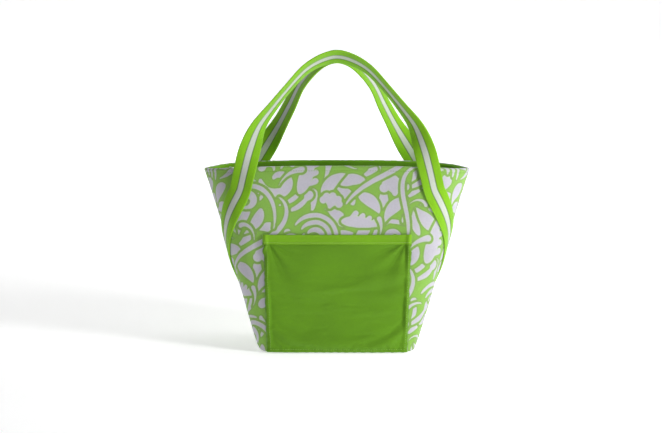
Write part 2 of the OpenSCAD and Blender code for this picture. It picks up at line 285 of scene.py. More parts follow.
def add_piece(name, shape, material, body="root", nodes=(), uv=None, values=None):
    """Puts a shape, its points and groups of faces, into a new mesh object, with faces turned outwards.

    The piece rides on the body and stands for the CAD nodes. uv is one pair a point; values are
    named numbers at the points."""
    points, groups = np.asarray(shape[0], float).reshape(-1, 3), shape[1]
    if signed_volume(points, groups) < 0:
        groups = [g[:, ::-1] for g in groups]
    mesh = bpy.data.meshes.new(name)
    mesh.vertices.add(len(points))
    mesh.vertices.foreach_set("co", points.astype(np.float32).ravel())
    corners = np.concatenate([g.ravel() for g in groups])
    totals = np.concatenate([np.full(len(g), g.shape[1]) for g in groups])
    mesh.loops.add(len(corners))
    mesh.loops.foreach_set("vertex_index", corners.astype(np.int32))
    mesh.polygons.add(len(totals))
    starts = np.concatenate([[0], np.cumsum(totals)[:-1]])
    mesh.polygons.foreach_set("loop_start", starts.astype(np.int32))
    mesh.update(calc_edges=True)
    if uv is not None:
        layer = mesh.uv_layers.new(name="cloth")
        layer.data.foreach_set("uv", np.reshape(uv, (-1, 2))[corners].astype(np.float32).ravel())
    for key, numbers in (values or {}).items():
        attribute = mesh.attributes.new(key, "FLOAT", "POINT")
        attribute.data.foreach_set("value", np.asarray(numbers, np.float32).ravel())
    mesh.polygons.foreach_set("use_smooth", np.full(len(totals), True))
    if mesh.validate():
        raise RuntimeError(f"{name}: the mesh had to be repaired")
    piece = bpy.data.objects.new(name, mesh)
    bpy.context.scene.collection.objects.link(piece)
    mesh.materials.append(material)
    if body:
        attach(piece, body)
    if nodes:
        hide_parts(*nodes)
    return piece


def slab(outer, inner):
    """A closed skin of two matching grids of points, joined round their edge."""
    rows, cols = outer.shape[:2]
    n = rows * cols
    faces = grid_faces(rows, cols)
    index = np.arange(n).reshape(rows, cols)
    edge = np.concatenate([index[0, :-1], index[:-1, -1], index[-1, :0:-1], index[:0:-1, 0]])
    after = np.roll(edge, -1)
    wall = np.stack([after, edge, edge + n, after + n], -1)
    points = np.concatenate([outer.reshape(-1, 3), inner.reshape(-1, 3)])
    return points, [np.concatenate([faces, faces[:, ::-1] + n, wall])]


def twice(values):
    """Values for both faces of a slab."""
    values = np.asarray(values)
    return np.concatenate([values.reshape(-1, *values.shape[2:])] * 2)


def capped(rings, ends):
    """A closed skin of rings of points, with a fan of triangles to each of the two end points."""
    rows, cols = rings.shape[:2]
    k = np.arange(cols)
    after = (k + 1) % cols
    last_row, tip = (rows - 1) * cols, rows * cols
    first = np.stack([after, k, np.full(cols, tip)], -1)
    last = np.stack([k + last_row, after + last_row, np.full(cols, tip + 1)], -1)
    points = np.concatenate([rings.reshape(-1, 3), ends])
    return points, [grid_faces(rows, cols, ring=True), np.concatenate([first, last])]


def tube(centres, side, up, profile):
    """A closed bar: a profile of (across, up) pairs carried along the centres, with end caps."""
    rings = centres[:, None] + side[:, None] * profile[None, :, :1] + up[:, None] * profile[None, :, 1:]
    return capped(rings, centres[[0, -1]])


def joined(shapes):
    """Several closed shapes as one, each turned to face outwards."""
    groups, count = [], 0
    for points, (faces,) in shapes:
        groups.append((faces if signed_volume(points, [faces]) > 0 else faces[:, ::-1]) + count)
        count += len(points)
    return np.concatenate([points for points, _ in shapes]), groups


def arc_lengths(grid):
    """Length walked along the first axis of a grid of points, starting from nothing."""
    steps = np.linalg.norm(np.diff(grid, axis=0), axis=-1)
    return np.concatenate([0 * steps[:1], np.cumsum(steps, axis=0)])


def resample(path, spacing):
    """Points at even spacing along a path, with the rest of each row carried with it."""
    run = arc_lengths(path[:, :3])
    count = max(2, int(round(run[-1] / spacing)) + 1)
    even = np.linspace(0, run[-1], count)
    return np.stack([np.interp(even, run, path[:, k]) for k in range(path.shape[1])], -1)


def capsules(middles, along, up, length, thick):
    """Low stitches: each is a five-ring capsule of six sides, half sunk into the cloth."""
    side = unit(np.cross(along, up))
    t = np.array([-0.5, -0.36, 0.0, 0.36, 0.5])
    reach = np.array([0.25, 0.8, 1.0, 0.8, 0.25])
    rise = np.array([-0.35, 0.2, 0.45, 0.2, -0.35])
    angle = np.arange(6) * np.pi / 3
    centre = middles[:, None] + along[:, None] * (t * length)[None, :, None]
    centre = centre + up[:, None] * (rise * thick)[None, :, None]
    spoke = side[:, None] * np.cos(angle)[None, :, None] + up[:, None] * np.sin(angle)[None, :, None]
    rings = centre[:, :, None] + spoke[:, None] * (reach * thick)[None, :, None, None] * 0.5
    count = len(middles)
    points = rings.reshape(-1, 3)
    caps = np.array([[3, 2, 1, 0], [5, 4, 3, 0], [24, 25, 26, 27], [24, 27, 28, 29]])
    faces = np.concatenate([grid_faces(5, 6, ring=True), caps])
    return points, [(faces[None] + 30 * np.arange(count)[:, None, None]).reshape(-1, 4)]


def sew(name, lines, shape, thread, body="root", thick=0.00055):
    """A row of stitches along each line, as one piece; a line is a path and the cloth's normals on it."""
    pitch = shape.stitch_pitch
    middles, ways, ups = [], [], []
    for path, normal in lines:
        even = resample(np.concatenate([path, normal], 1), pitch)
        middles.append((even[:-1, :3] + even[1:, :3]) / 2)
        ways.append(unit(even[1:, :3] - even[:-1, :3]))
        ups.append(unit((even[:-1, 3:] + even[1:, 3:]) / 2))
    middles, ways, ups = (np.concatenate(a) for a in (middles, ways, ups))
    stitches = capsules(middles, ways, ups, pitch - STITCH_GAP, thick)
    return add_piece(name, stitches, MATERIALS[thread], body)


# ---------------------------------------------------------------- the print

TILE_WIDE = 0.168
TILE_TALL = 0.184
CHANNEL = 0.0034


def brush(x, y, heading, length, bend, curl, width, form="leaf", count=40):
    """One brush stroke as rows of x, y and radius, in millimetres.

    The heading turns by bend times the share along plus curl times its cube; the points are summed
    along it. The radius follows the form: a leaf is a sine, a drop grows to its end, a vine swells
    in the middle, and a bulb ends in a ball."""
    t = np.linspace(0, 1, count)
    turn = np.radians(heading + bend * t + curl * t**3)
    step = length / (count - 1)
    px = x + np.concatenate([[0], np.cumsum(np.cos((turn[1:] + turn[:-1]) / 2))]) * step
    py = y + np.concatenate([[0], np.cumsum(np.sin((turn[1:] + turn[:-1]) / 2))]) * step
    ball = np.clip((t - 0.84) / 0.16, 0, 1) ** 0.6
    radius = {
        "leaf": width * np.sin(np.pi * t**0.72) ** 0.8,
        "petal": width * np.sin(np.pi * (0.04 + 0.9 * t) ** 1.5) ** 0.85,
        "drop": width * (0.10 + 0.90 * t**1.4),
        "vine": width * (0.30 + 0.70 * np.sin(np.pi * t) ** 0.7),
        "bulb": width * (0.22 + 0.40 * np.sin(np.pi * t) + 0.85 * ball),
    }[form]
    return np.stack([px, py, radius], 1)


def tulip(size=44, width=9.5):
    """Three fat petals that fan out from one point, with a curled sepal."""
    return [
        brush(0, 0, 74, size, -8, 0, width, "petal"),
        brush(-3, 1, 118, size * 0.86, -34, 0, width * 0.55, "petal"),
        brush(6, -1, 24, size * 0.78, 34, 20, width * 0.62, "petal"),
        brush(-8, -3, 168, size * 0.5, -70, 0, width * 0.4, "drop"),
    ]


def scroll(size=128, width=4.6, turn=-120, tight=-330):
    """A stem that winds into a ball, with a drop leaf on its back."""
    return [
        brush(0, 0, 84, size, turn, tight, width, "bulb", 80),
        brush(10, 50, 96, size * 0.27, 60, 0, width * 0.85, "drop"),
    ]


def hook(size=74, width=6.4):
    """A fat crescent whose tip curls back into a ball."""
    return [
        brush(0, 0, -75, size, 205, 120, width, "vine", 60),
        brush(14, 6, 60, size * 0.42, 150, 60, width * 0.75, "drop"),
    ]


def plume(size=54, width=8, lobes=4):
    """A leaf with a row of rounded lobes down one side."""
    lobed = [brush(0, 0, 82, size, 18, 0, width, "leaf")]
    for i in range(lobes):
        t = (i + 0.8) / (lobes + 0.6)
        reach = size * 0.33 * (1 - 0.45 * t)
        fat = width * 0.5 * (1 - 0.3 * t)
        lobed.append(brush(1, size * t * 0.86, 22 + 26 * t, reach, 26, 0, fat, "drop"))
    return [np.concatenate(lobed)]


def rainbow(width=3.4):
    """Nested arches round a small drop."""
    arcs = [brush(-r, -2, 88, 2.75 * r, -165, 0, width, "vine", 50) for r in (11, 20.5, 30)]
    return arcs + [brush(0, -4, 90, 7, 0, 0, 4.4, "drop")]


def bloom(size=7.6):
    """A cloud-like flower: five round lobes over a stub."""
    around = np.radians(np.array([0, 44, 90, 136, 180]))
    lobes = np.stack([size * 1.5 * np.cos(around), size * 1.15 * np.sin(around), np.full(5, size * 0.68)], 1)
    stub = brush(0, 0, -90, size * 1.1, 0, 0, size * 0.5, "vine")
    return [np.concatenate([lobes, [[0.0, 1.0, size]], stub])]


def vine(size=150, width=3.6, bend=-95, curl=190):
    """A long stem that sweeps one way and then the other."""
    return [
        brush(0, 0, 40, size, bend, curl, width, "vine", 80),
        brush(size * 0.36, size * 0.18, 62, size * 0.26, 70, 60, width * 0.9, "drop"),
    ]


LAYOUT = [
    (scroll, 84, 78, -18, 1.12, -1),
    (vine, 12, 18, 14, 0.98, 1),
    (tulip, 36, 70, 8, 1.2, 1),
    (rainbow, 140, 66, -34, 1.05, 1),
    (hook, 66, 142, -6, 1.1, 1),
    (vine, 92, 150, -64, 0.8, -1),
    (plume, 118, 124, -16, 1.15, 1),
    (bloom, 76, 40, 4, 1.2, 1),
    (scroll, 22, 130, -40, 0.8, 1),
    (tulip, 104, 14, -158, 0.95, -1),
    (bloom, 160, 112, -16, 0.95, 1),
    (plume, 6, 178, -96, 0.95, -1),
    (tulip, 150, 170, 28, 0.85, -1),
]


def motif_strokes(motif, x, y, turn, scale, flip):
    """The strokes of one motif, turned and scaled into its place on the tile."""
    c, s = np.cos(np.radians(turn)), np.sin(np.radians(turn))
    placed = []
    for stroke in motif():
        px, py, radius = (stroke * scale).T
        px = px * flip
        placed.append(np.stack([x + c * px - s * py, y + s * px + c * py, radius], 1) * 0.001)
    return placed


def tiles_over(places, low, high, size):
    """Numbers of the tiles in which a stroke from low to high may touch the places."""
    return range(int(np.floor((places.min() - high) / size)), int(np.ceil((places.max() - low) / size)) + 1)


def stamp(total, u, v, stroke):
    """Adds one stroke and its repeats to the distance field; it keeps a channel from what is there.

    The distance to a stroke is the least distance to its points less their radii. Where it would
    come nearer than a channel to earlier shapes, it is cut back. Columns of tiles drop by half."""
    reach = 0.006
    made = np.full(total.shape, 1.0)
    low, high = stroke[:, :2].min(0) - 0.012, stroke[:, :2].max(0) + 0.012
    for i in tiles_over(u, low[0], high[0], TILE_WIDE):
        drop = TILE_TALL / 2 * (i % 2)
        for j in tiles_over(v, low[1] + drop, high[1] + drop, TILE_TALL):
            shift = np.array([i * TILE_WIDE, j * TILE_TALL + drop])
            a, b = low + shift - reach, high + shift + reach
            near = np.flatnonzero((u > a[0]) & (u < b[0]) & (v > a[1]) & (v < b[1]))
            for part in np.array_split(near, max(1, len(near) // 6000)):
                if len(part):
                    du = u[part, None] - (stroke[None, :, 0] + shift[0])
                    dv = v[part, None] - (stroke[None, :, 1] + shift[1])
                    made[part] = np.minimum(made[part], (np.hypot(du, dv) - stroke[None, :, 2]).min(1))
    return np.minimum(total, np.maximum(made, CHANNEL - total))


def tile_fillers(strokes, count=26, step=0.0022):
    """Small curved leaves for the bare spots of one tile, laid one by one in the widest gap."""
    grid_u, grid_v = np.meshgrid(np.arange(0, TILE_WIDE, step), np.arange(0, TILE_TALL, step))
    u, v = grid_u.ravel(), grid_v.ravel()
    total = np.full(u.shape, 0.05)
    for stroke in strokes:
        total = stamp(total, u, v, stroke)
    fillers = []
    ways = np.array([(0, 4), (3, 3), (4, 0), (3, -3)])
    for k in range(count):
        field = total.reshape(grid_u.shape)
        at = int(np.argmax(total))
        room = total[at] - CHANNEL
        if room < 0.0022:
            break
        row, col = np.unravel_index(at, grid_u.shape)
        ahead = field[(row + ways[:, 0]) % field.shape[0], (col + ways[:, 1]) % field.shape[1]]
        behind = field[(row - ways[:, 0]) % field.shape[0], (col - ways[:, 1]) % field.shape[1]]
        best = int(np.argmax(ahead + behind))
        heading = (0, 45, 90, 135)[best] + (12 if k % 2 else -12)
        wide = min(room * 1000 + 1.8, 8.0)
        long = wide * (4.6 if k % 3 else 5.6)
        bend = 50 if k % 2 else -60
        form = ("leaf", "drop", "petal", "bulb")[k % 4]
        x = u[at] * 1000 - np.cos(np.radians(heading + bend / 4)) * long * 0.5
        y = v[at] * 1000 - np.sin(np.radians(heading + bend / 4)) * long * 0.5
        leaf = brush(x, y, heading, long, bend, 0, wide * (0.7 if form == "bulb" else 1.0), form) * 0.001
        fillers.append(leaf)
        total = stamp(total, u, v, leaf)
    return fillers


PRINT = []


def print_distance(u, v):
    """Signed distance in metres to the nearest edge of the print's shapes, negative inside them."""
    if not PRINT:
        for motif in LAYOUT:
            PRINT.extend(motif_strokes(*motif))
        PRINT.extend(tile_fillers(list(PRINT)))
    flat_u, flat_v = np.ravel(u).astype(float), np.ravel(v).astype(float)
    total = np.full(flat_u.shape, 0.05)
    for stroke in PRINT:
        total = stamp(total, flat_u, flat_v, stroke)
    return total.reshape(np.shape(u))


# ---------------------------------------------------------------- materials


def linear(colour):
    """A screen colour from 0 to 255 as linear light."""
    c = np.array(colour, float) / 255
    return tuple(float(x) for x in np.where(c <= 0.04045, c / 12.92, ((c + 0.055) / 1.055) ** 2.4))


class Nodes:
    """Shortcuts for laying out the shader nodes of one material or effect."""

    def __init__(self, tree):
        self.tree = tree

    def put(self, value, socket):
        """Links a socket to another, or sets its plain value."""
        if isinstance(value, bpy.types.NodeSocket):
            self.tree.links.new(value, socket)
        else:
            socket.default_value = value

    def add(self, kind, **settings):
        """A node; settings name its inputs, with spaces as underscores, or its own properties."""
        node = self.tree.nodes.new("ShaderNode" + kind)
        for key, value in settings.items():
            name = key.replace("_", " ").lower()
            socket = next((s for s in node.inputs if s.name.lower() == name and s.enabled), None)
            if socket is None:
                setattr(node, key, value)
            else:
                self.put(value, socket)
        return node

    def maths(self, operation, a, b=0.0):
        """A Math node on two values or sockets."""
        node = self.add("Math", operation=operation)
        self.put(a, node.inputs[0])
        self.put(b, node.inputs[1])
        return node.outputs[0]

    def times(self, a, b):
        """The product of two values."""
        return self.maths("MULTIPLY", a, b)

    def plus(self, a, b):
        """The sum of two values."""
        return self.maths("ADD", a, b)

    def minus(self, a, b):
        """The difference of two values."""
        return self.maths("SUBTRACT", a, b)

    def wave(self, value, turns):
        """The size of the sine of a value times the turns."""
        return self.maths("ABSOLUTE", self.maths("SINE", self.times(value, turns)))

    def ramp(self, value, low, high, to_low=0.0, to_high=1.0):
        """A smooth step from low..high to the two results."""
        node = self.add("MapRange", interpolation_type="SMOOTHSTEP", Value=value)
        for name, number in zip(("From Min", "From Max", "To Min", "To Max"), (low, high, to_low, to_high)):
            node.inputs[name].default_value = number
        return node.outputs["Result"]

    def mix(self, factor, a, b, blend="MIX"):
        """A mix of two colours or sockets."""
        node = self.add("Mix", data_type="RGBA", blend_type=blend)
        for index, value in ((0, factor), (6, a), (7, b)):
            self.put((*value, 1.0) if isinstance(value, tuple) else value, node.inputs[index])
        return node.outputs[2]

    def shaded(self, colour, brightness):
        """A colour times a brightness that varies over the surface."""
        return self.mix(1.0, colour, brightness, "MULTIPLY")

    def noise(self, vector, scale, detail):
        """Noise from 0 to 1."""
        return self.add("TexNoise", Vector=vector, Scale=scale, Detail=detail).outputs[0]

    def effect(self, name, **values):
        """The outputs of one of the shared effects, placed with its own values."""
        if name not in EFFECTS:
            EFFECTS[name] = EFFECT_MAKERS[name]()
        return self.add("Group", node_tree=EFFECTS[name], **values).outputs


def start_effect(name, numbers, results):
    """An empty shader node group that takes a vector and numbers, and gives numbers."""
    tree = bpy.data.node_groups.new(name, "ShaderNodeTree")
    tree.interface.new_socket("Vector", in_out="INPUT", socket_type="NodeSocketVector")
    for label, default in numbers.items():
        socket = tree.interface.new_socket(label, in_out="INPUT", socket_type="NodeSocketFloat")
        socket.default_value = default
    for label in results:
        tree.interface.new_socket(label, in_out="OUTPUT", socket_type="NodeSocketFloat")
    return Nodes(tree), tree.nodes.new("NodeGroupInput").outputs, tree.nodes.new("NodeGroupOutput").inputs


def weave_effect():
    """Plain weave: over and under threads from sines of the two cloth directions, swapped in a check. The
    second output, one less the height, serves as painted shade between the threads.
    """
    group, given, result = start_effect("Plain weave", {"Threads": 1600.0}, ("Height", "Gap"))
    split = group.add("SeparateXYZ", Vector=given["Vector"])
    warp, weft = (
        group.maths("SINE", group.times(group.times(split.outputs[axis], given["Threads"]), math.pi))
        for axis in ("X", "Y")
    )
    check = group.ramp(group.times(warp, weft), -0.15, 0.15)
    over = group.times(group.maths("ABSOLUTE", warp), check)
    under = group.times(group.maths("ABSOLUTE", weft), group.minus(1.0, check))
    height = group.plus(over, under)
    group.put(height, result["Height"])
    # One less the height, where the threads dip: used as painted shade.
    group.put(group.minus(1.0, height), result["Gap"])
    return group.tree


def tone_effect():
    """Uneven dye and soiling: two scales of noise as a brightness close to 1, and the noise itself."""
    numbers = {"Scale": 18.0, "Amount": 0.12}
    group, given, result = start_effect("Uneven dye", numbers, ("Brightness", "Patches"))
    broad = group.noise(given["Vector"], given["Scale"], 3.0)
    fine = group.noise(given["Vector"], group.times(given["Scale"], 22.0), 2.0)
    both = group.plus(group.times(broad, 0.7), group.times(fine, 0.3))
    swing = group.times(group.minus(both, 0.5), given["Amount"])
    group.put(group.plus(group.times(swing, 4.0), 1.0), result["Brightness"])
    group.put(both, result["Patches"])
    return group.tree


def fuzz_effect():
    """Stray fibres: stretched noise along the cloth, as a height."""
    group, given, result = start_effect("Stray fibres", {"Scale": 900.0}, ("Height",))
    stretch = group.add("Mapping", Vector=given["Vector"], Scale=(1.0, 0.25, 1.0))
    group.put(group.noise(stretch.outputs[0], given["Scale"], 2.0), result["Height"])
    return group.tree


EFFECTS = {}
EFFECT_MAKERS = {"weave": weave_effect, "tone": tone_effect, "fuzz": fuzz_effect}


class Finish(Nodes):
    """A material under way, with its place on the object and its place on the flat cloth."""

    def __init__(self, name):
        self.material = bpy.data.materials.new(name)
        self.material.use_nodes = True
        super().__init__(self.material.node_tree)
        coords = self.add("TexCoord").outputs
        self.place, self.cloth = coords["Object"], coords["UV"]

    def attribute(self, name):
        """A number that is kept on the mesh."""
        return self.add("Attribute", attribute_name=name).outputs["Fac"]

    def tone(self, scale, amount):
        """The uneven dye's brightness and patches."""
        made = self.effect("tone", Vector=self.place, Scale=scale, Amount=amount)
        return made["Brightness"], made["Patches"]

    def rough(self, patches, low, high):
        """Roughness between two values, by the dye's patches."""
        return self.ramp(patches, 0.2, 0.8, low, high)

    def done(self, bump=None, **sockets):
        """Sets the shader's sockets, and its normal from bump's strength, distance and height."""
        shader = self.tree.nodes["Principled BSDF"]
        for key, value in sockets.items():
            self.put(value, shader.inputs[key.replace("_", " ")])
        if bump:
            strength, distance, height = bump
            node = self.add("Bump", Strength=strength, Distance=distance, Height=height)
            self.put(node.outputs[0], shader.inputs["Normal"])
        return self.material


def woven(finish, colour, threads, bump, rough, sheen, amount=0.12, scale=18.0):
    """Joins colour, uneven dye, weave and fibres to a cloth's shader. The weave's gaps darken the colour to
    0.80: painted shade between the threads.
    """
    weave = finish.effect("weave", Vector=finish.cloth, Threads=threads)
    brightness, patches = finish.tone(scale, amount)
    fuzz = finish.effect("fuzz", Vector=finish.place)["Height"]
    toned = finish.shaded(colour, brightness)
    return finish.done(
        # Painted shade: the colour darkens to 0.80 in the gaps between the threads.
        Base_Color=finish.shaded(toned, finish.ramp(weave["Gap"], 0.35, 1.0, 1.0, 0.80)),
        Roughness=finish.rough(patches, rough - 0.06, rough + 0.06),
        Sheen_Weight=sheen,
        Sheen_Roughness=0.5,
        Specular_IOR_Level=0.25,
        bump=(bump, 0.0002, finish.plus(weave["Height"], finish.times(fuzz, 0.5))),
    )


def printed_cloth(colours):
    """The shell's canvas: pale shapes on lime, from the distance kept on the mesh, with a thin outline."""
    finish = Finish("Printed canvas")
    wobble = finish.noise(finish.cloth, 420.0, 2.0)
    ragged = finish.times(finish.minus(wobble, 0.5), 0.0005)
    edge = finish.plus(finish.attribute("print_distance"), ragged)
    shape = finish.ramp(edge, -0.00035, 0.00035, 1.0, 0.0)
    rim_light = finish.ramp(edge, -0.0016, -0.0003, 0.0, 0.55)
    outline = finish.times(finish.ramp(edge, 0.0000, 0.0006), finish.ramp(edge, 0.0008, 0.0017, 0.62, 0.0))
    pale = finish.mix(rim_light, linear(colours["motif"]), linear(colours["motif_edge"]))
    ground = finish.mix(outline, linear(colours["ground"]), linear(colours["outline"]))
    return woven(finish, finish.mix(shape, ground, pale), 1900.0, 0.25, 0.80, 0.15)


def plain_cloth(name, colour, threads, bump):
    """A dyed cloth of one colour."""
    return woven(Finish(name), linear(colour), threads, bump, 0.82, 0.2)


def webbing_cloth(colours):
    """Striped webbing: white down the middle and green each side, from the distance across it.

    The ribs run across the strap, a sine of the length, and darken the colour in their troughs as painted
    shade. Where the two colours meet, the furrow is darkened with painted shade."""
    finish = Finish("Striped webbing")
    out = finish.maths("ABSOLUTE", finish.attribute("across"))
    length = finish.add("SeparateXYZ", Vector=finish.cloth).outputs["Y"]
    rib = finish.wave(length, 2 * math.pi / 0.00125)
    placed = finish.plus(out, finish.times(rib, 0.00022))
    stripe = finish.ramp(placed, 0.0040, 0.0046, 1.0, 0.0)
    # Painted shade: a dark line in the furrows beside the stripe.
    furrow_shade = finish.times(finish.ramp(placed, 0.0035, 0.0042), finish.ramp(placed, 0.0046, 0.0060, 0.85, 0.0))
    # Both edges of the webbing are mixed towards a lighter green.
    selvedge = finish.ramp(out, 0.0128, 0.0146, 0.0, 0.35)
    green = finish.mix(selvedge, linear(colours["webbing"]), linear(colours["webbing_edge"]))
    both = finish.mix(stripe, green, linear(colours["stripe"]))
    dark = finish.mix(furrow_shade, both, linear(colours["webbing_furrow"]))
    brightness, patches = finish.tone(26.0, 0.12)
    toned = finish.shaded(dark, brightness)
    weave = finish.effect("weave", Vector=finish.cloth, Threads=1300.0)
    return finish.done(
        # Painted shade: the colour darkens to 0.84 in the troughs between the ribs.
        Base_Color=finish.shaded(toned, finish.ramp(rib, 0.0, 0.8, 0.84, 1.0)),
        Roughness=finish.rough(patches, 0.72, 0.84),
        Sheen_Weight=0.2,
        Specular_IOR_Level=0.3,
        bump=(0.45, 0.0003, finish.plus(rib, finish.times(weave["Height"], 0.4))),
    )


def foil_film(colours):
    """Heat-sealed silver lining: metal with fine creases and a faint diamond emboss."""
    finish = Finish("Foil lining")
    creases = finish.add("TexVoronoi", feature="DISTANCE_TO_EDGE", Vector=finish.place, Scale=55.0).outputs[0]
    crinkle = finish.noise(finish.place, 90.0, 4.0)
    across, down = finish.add("SeparateXYZ", Vector=finish.cloth).outputs[:2]
    one = finish.wave(finish.plus(across, down), 520.0)
    two = finish.wave(finish.minus(across, down), 520.0)
    emboss = finish.ramp(finish.maths("MINIMUM", one, two), 0.0, 0.25)
    height = finish.plus(finish.times(finish.ramp(creases, 0.0, 0.08), 0.6), crinkle)
    brightness, patches = finish.tone(14.0, 0.10)
    return finish.done(
        Base_Color=finish.shaded(linear(colours["foil"]), brightness),
        Roughness=finish.rough(patches, 0.24, 0.42),
        Metallic=0.9,
        bump=(0.5, 0.0006, finish.plus(height, finish.times(emboss, 0.5))),
    )


def foam_block(colours):
    """Closed-cell foam: small cells as pits, on an off-white body; the colour darkens where the pits are low,
    as painted shade.
    """
    finish = Finish("Cell foam")
    cells = finish.add("TexVoronoi", Vector=finish.place, Scale=1100.0).outputs["Distance"]
    # Both the bump's height and painted shade: the colour darkens to 0.82 toward the cells' edges, where the
    # bump is lowest.
    pit_height_and_shade = finish.ramp(cells, 0.1, 0.6, 1.0, 0.82)
    toned = finish.shaded(linear(colours["foam"]), finish.tone(30.0, 0.08)[0])
    return finish.done(Base_Color=finish.shaded(toned, pit_height_and_shade), Roughness=0.9, bump=(0.5, 0.0003, pit_height_and_shade))


def stretched_noise(finish, stretch, scale, detail):
    """Noise drawn out along X, for fibres and brush marks."""
    along = finish.add("Mapping", Vector=finish.place, Scale=(1.0, stretch, stretch))
    return finish.noise(along.outputs[0], scale, detail)


def stiff_board(colours):
    """Grey fibre board: streaked fibres and specks."""
    finish = Finish("Fibre board")
    fibres = stretched_noise(finish, 6.0, 160.0, 5.0)
    tint = finish.mix(fibres, linear(colours["board"]), linear(colours["board_fleck"]))
    return finish.done(Base_Color=tint, Roughness=0.88, bump=(0.4, 0.0002, fibres))


def nylon(name, colour, rough=0.38):
    """Moulded nylon with a soft gloss and fine drag marks."""
    finish = Finish(name)
    brightness, patches = finish.tone(120.0, 0.08)
    return finish.done(
        Base_Color=finish.shaded(linear(colour), brightness),
        Roughness=finish.rough(patches, rough - 0.08, rough + 0.1),
        bump=(0.12, 0.0001, patches),
    )


def plated_metal(colours):
    """Nickel plate: brushed along X, with dull rubbed patches."""
    finish = Finish("Nickel plate")
    brushed = stretched_noise(finish, 12.0, 500.0, 3.0)
    return finish.done(
        Base_Color=finish.shaded(linear(colours["metal"]), finish.tone(160.0, 0.16)[0]),
        Roughness=finish.ramp(brushed, 0.3, 0.7, 0.20, 0.38),
        Metallic=1.0,
        bump=(0.15, 0.0001, brushed),
    )


def sewing_thread(name, colour):
    """Twisted thread: slanted bands along each stitch."""
    finish = Finish(name)
    twist = finish.add(
        "TexWave", Vector=finish.place, Scale=900.0, Distortion=1.5, bands_direction="DIAGONAL"
    )
    bands = twist.outputs["Fac"]
    shade = finish.ramp(bands, 0.0, 1.0, 0.82, 1.0)
    return finish.done(
        Base_Color=finish.shaded(linear(colour), shade), Roughness=0.7, Sheen_Weight=0.2,
        bump=(0.3, 0.0001, bands),
    )


def build_materials(colours):
    """Makes every material of the bag once, from the panel's colours."""
    MATERIALS["shell"] = printed_cloth(colours)
    cloths = (
        ("pocket", "Pocket canvas", "pocket", 1500.0, 0.4),
        ("binding", "Binding tape", "binding", 1500.0, 0.4),
        ("facing", "Facing cloth", "facing", 1700.0, 0.35),
        ("base", "Base canvas", "pocket", 1300.0, 0.5),
        ("tape", "Zip tape", "tape", 2200.0, 0.4),
    )
    for key, name, colour, threads, bump in cloths:
        MATERIALS[key] = plain_cloth(name, colours[colour], threads, bump)
    MATERIALS["webbing"] = webbing_cloth(colours)
    MATERIALS["foil"] = foil_film(colours)
    MATERIALS["foam"] = foam_block(colours)
    MATERIALS["board"] = stiff_board(colours)
    MATERIALS["coil"] = nylon("Zip coil nylon", colours["coil"])
    MATERIALS["metal"] = plated_metal(colours)
    for key in ("green_thread", "pocket_thread", "binding_thread"):
        MATERIALS[key] = sewing_thread(key.replace("_", " ").capitalize(), colours[key])


# ---------------------------------------------------------------- shell panels

BACK_PRINT_SHIFT = 0.061
BASE_CLOTH_IN = 0.0024
BASE_BOARD_IN = 0.0030
BASE_FOIL_IN = 0.0076


def rolled_rows(share, side, steps=9, turn=112.0):
    """Heights and offsets of the rows that roll over the rim.

    The roll is a half circle of 3.4 mm whose top is the rim: the height grows with the sine of its
    angle while the cloth moves inwards with its cosine."""
    rim = rim_height(share, side)
    angle = np.radians(np.linspace(0, turn, steps + 1)[1:])[:, None]
    heights = rim[None, :] - ROLL + ROLL * np.sin(angle)
    offsets = -ROLL + ROLL * np.cos(angle) + 0 * share[None, :]
    return heights, offsets


def shell_grid(side, cols=241, rows=150):
    """Outer points, flat cloth coordinates and normals of one shell panel.

    Rows climb from the base to the start of the roll on the lifted cloth, then go over the rim."""
    share = np.linspace(-1, 1, cols)
    rim = rim_height(share, side)
    t = np.linspace(0, 1, rows)[:, None]
    z = t * (rim[None, :] - ROLL)
    spread = np.broadcast_to(share, z.shape)
    body = on_cloth(spread, z, 0.0, side)
    heights, offsets = rolled_rows(share, side)
    wide = np.broadcast_to(share, heights.shape)
    rolled = between_layers(wide, heights, offsets, side)
    lift = shell_lift(share, z[-1], side)
    fade = np.cos(np.linspace(0, np.pi / 2, len(heights) + 1)[1:])[:, None]
    rolled = rolled + skin_normal(wide, np.minimum(heights, HEIGHT), side) * (lift * fade)[..., None]
    grid = np.concatenate([body, rolled])
    u = np.concatenate([spread, wide]) * seam_length(np.minimum(grid[..., 2], HEIGHT))
    normals = grid_normals(grid)
    normals = normals * np.sign(normals[rows // 2, cols // 2, 1] * side)
    return grid, np.stack([u, arc_lengths(grid)], -1), normals


def build_shell(shape):
    """Front and back printed panels with their hem stitching."""
    for side, word in SIDES:
        grid, flat, normals = shell_grid(side)
        shift = 0.0 if side < 0 else BACK_PRINT_SHIFT
        distance = print_distance(flat[..., 0] * -side + shift, flat[..., 1])
        panel = add_piece(
            f"{word}_shell_panel", slab(grid, grid - normals * SHELL_CLOTH),
            MATERIALS["shell"],
            nodes=[f"{word}_panel"], uv=twice(flat), values={"print_distance": twice(distance)},
        )
        share = np.linspace(-0.985, 0.985, 260)
        z = rim_height(share, side) - HEM_DROP
        line = (on_cloth(share, z, 0.00018, side), skin_normal(share, z, side))
        hem = sew(f"{word}_hem_stitching", [line], shape, "green_thread")


def base_outline(inset, count=240):
    """Points round the base, a super-ellipse of the fourth-root kind drawn in by the inset.

    x is the half width times the cosine to the quarter power, y the half depth times the sine."""
    share = np.linspace(-1, 1, count // 2 + 1)
    front = on_skin(share, 0 * share, -inset, FRONT)[:, :2]
    back = on_skin(share[::-1], 0 * share, -inset, BACK)[:, :2]
    return np.concatenate([front[:-1], back[:-1]])


